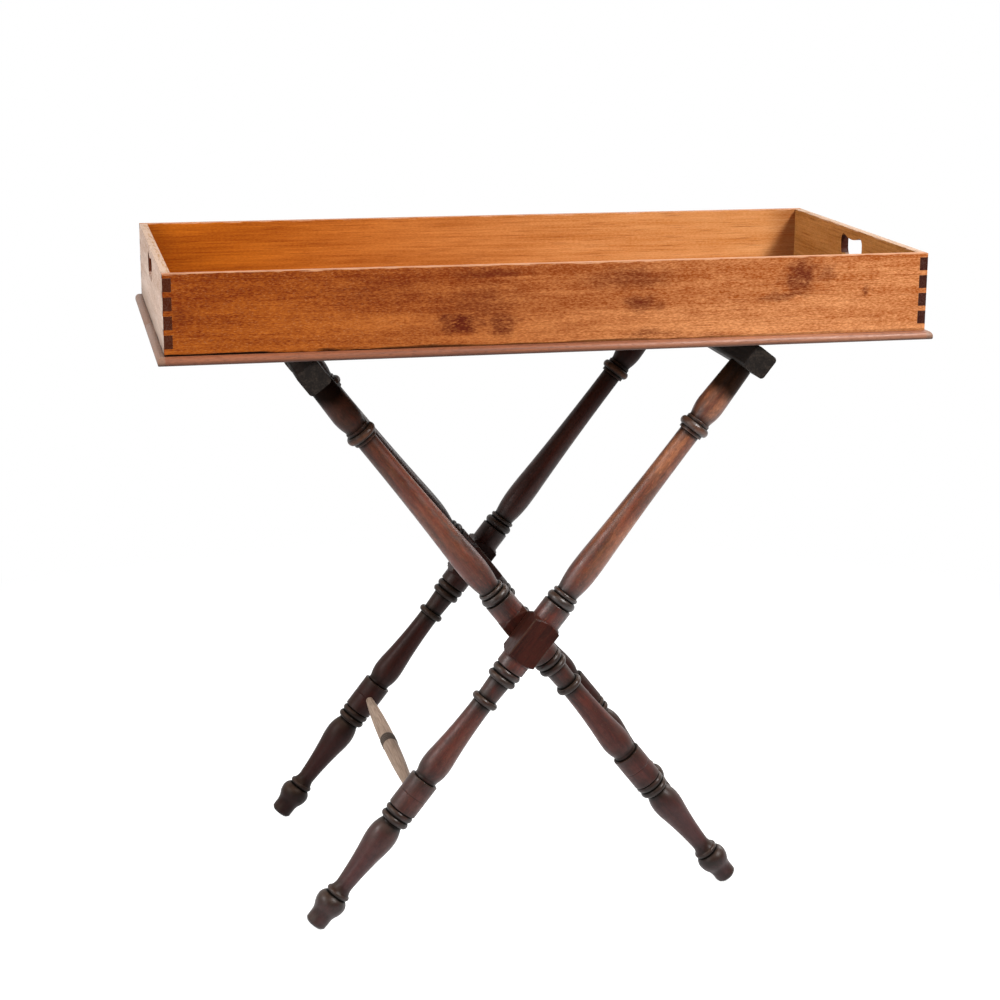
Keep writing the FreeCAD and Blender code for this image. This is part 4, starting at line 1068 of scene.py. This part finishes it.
class TRAYTABLE_OT_rails(bpy.types.Operator):
    """The two rails on top of the legs"""

    bl_idname = "traytable.rails"
    bl_label = "Rails"

    def execute(self, context):
        finish = context.scene.tray_table_stand
        wood = rail_wood(finish)
        for node in ("outer_top_rail", "inner_top_rail"):
            ease_edges(dress_node(node, wood), finish.rail_bevel)
        return {"FINISHED"}


class TRAYTABLE_OT_stretchers(bpy.types.Operator):
    """The two slim stretchers between the legs"""

    bl_idname = "traytable.stretchers"
    bl_label = "Stretchers"

    def execute(self, context):
        wood = stretcher_wood(context.scene.tray_table_stand)
        places = (("outer_stretcher", "outer_frame", 1, OUTER_LEG_Y),
                  ("inner_stretcher", "inner_frame", -1, INNER_LEG_Y))
        for node, body, side, leg_y in places:
            rings, poles = stretcher_rings(leg_y - DRUM_DIA / 2)
            drum = np.array([PIVOT[0] - DRUM_MIDDLE * MM * math.sin(LEAN) * side, 0.0,
                             PIVOT[2] - DRUM_MIDDLE * MM * math.cos(LEAN)])
            mesh = ring_mesh(f"turned_{node}", rings * MM + drum, poles * MM + drum)
            stretcher = add_piece(context, mesh, wood)
            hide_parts(node)
            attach(stretcher, body)
        return {"FINISHED"}


class TRAYTABLE_OT_straps(bpy.types.Operator):
    """The two webbing straps over the rails"""

    bl_idname = "traytable.straps"
    bl_label = "Straps"

    def execute(self, context):
        weave = strap_weave(context.scene.tray_table_stand)
        for node, y in (("front_webbing_strap", -STRAP_Y), ("rear_webbing_strap", STRAP_Y)):
            mesh, length = strap_mesh(f"woven_{node}", y)
            strap = add_piece(context, mesh, weave)
            body = strap.modifiers.new("thickness", "SOLIDIFY")
            body.thickness = STRAP_THICKNESS * MM
            body.offset = 0.0
            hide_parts(node)
            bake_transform(strap)
        return {"FINISHED"}


class TRAYTABLE_OT_metalwork(bpy.types.Operator):
    """Tacks in the straps, pins at the crossings and screws in the floor"""

    bl_idname = "traytable.metalwork"
    bl_label = "Metalwork"

    def execute(self, context):
        finish = context.scene.tray_table_stand
        brass = metal("tarnished_brass_tacks", finish.brass, 0.3, finish.brass_dark)
        steel = metal("dull_steel_pins_and_screws", finish.steel, 0.35, finish.steel_dark)
        metals = {"outer_rail_tacks": brass, "inner_rail_tacks": brass, "front_pivot_pin": steel,
                  "rear_pivot_pin": steel, "tray_floor_screws": steel}
        for node, finish_metal in metals.items():
            dress_node(node, finish_metal)
        return {"FINISHED"}


class TRAYTABLE_PT_panel(bpy.types.Panel):
    """Lists the pieces of the tray table and their finishes"""

    bl_idname = "TRAYTABLE_PT_panel"
    bl_label = "Tray table"
    bl_space_type = "VIEW_3D"
    bl_region_type = "UI"
    bl_category = "Tray table"

    def draw(self, context):
        for operator in OPERATORS:
            self.layout.operator(operator.bl_idname)
        for place, group in SETTINGS.items():
            box = self.layout.box()
            for name in group.__annotations__:
                box.prop(getattr(context.scene, place), name)


OPERATORS = (TRAYTABLE_OT_stage, TRAYTABLE_OT_side_boards, TRAYTABLE_OT_floor_boards, TRAYTABLE_OT_legs,
             TRAYTABLE_OT_rails, TRAYTABLE_OT_stretchers, TRAYTABLE_OT_straps, TRAYTABLE_OT_metalwork)
SETTINGS = {"tray_table_tray": TrayFinish, "tray_table_stand": StandFinish, "tray_table_stage": StageSettings}
CLASSES = (*SETTINGS.values(), *OPERATORS, TRAYTABLE_PT_panel)


def register():
    """Register the classes and hang the settings on the scene."""
    for each in CLASSES:
        bpy.utils.register_class(each)
    for place, group in SETTINGS.items():
        setattr(bpy.types.Scene, place, bpy.props.PointerProperty(type=group))


def unregister():
    """Take the settings off the scene and unregister the classes."""
    for place in SETTINGS:
        delattr(bpy.types.Scene, place)
    for each in reversed(CLASSES):
        bpy.utils.unregister_class(each)


def main():
    """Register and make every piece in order."""
    register()
    bpy.ops.traytable.stage()
    bpy.ops.traytable.side_boards()
    bpy.ops.traytable.floor_boards()
    bpy.ops.traytable.legs()
    bpy.ops.traytable.rails()
    bpy.ops.traytable.stretchers()
    bpy.ops.traytable.straps()
    bpy.ops.traytable.metalwork()


if __name__ == "__main__":
    main()
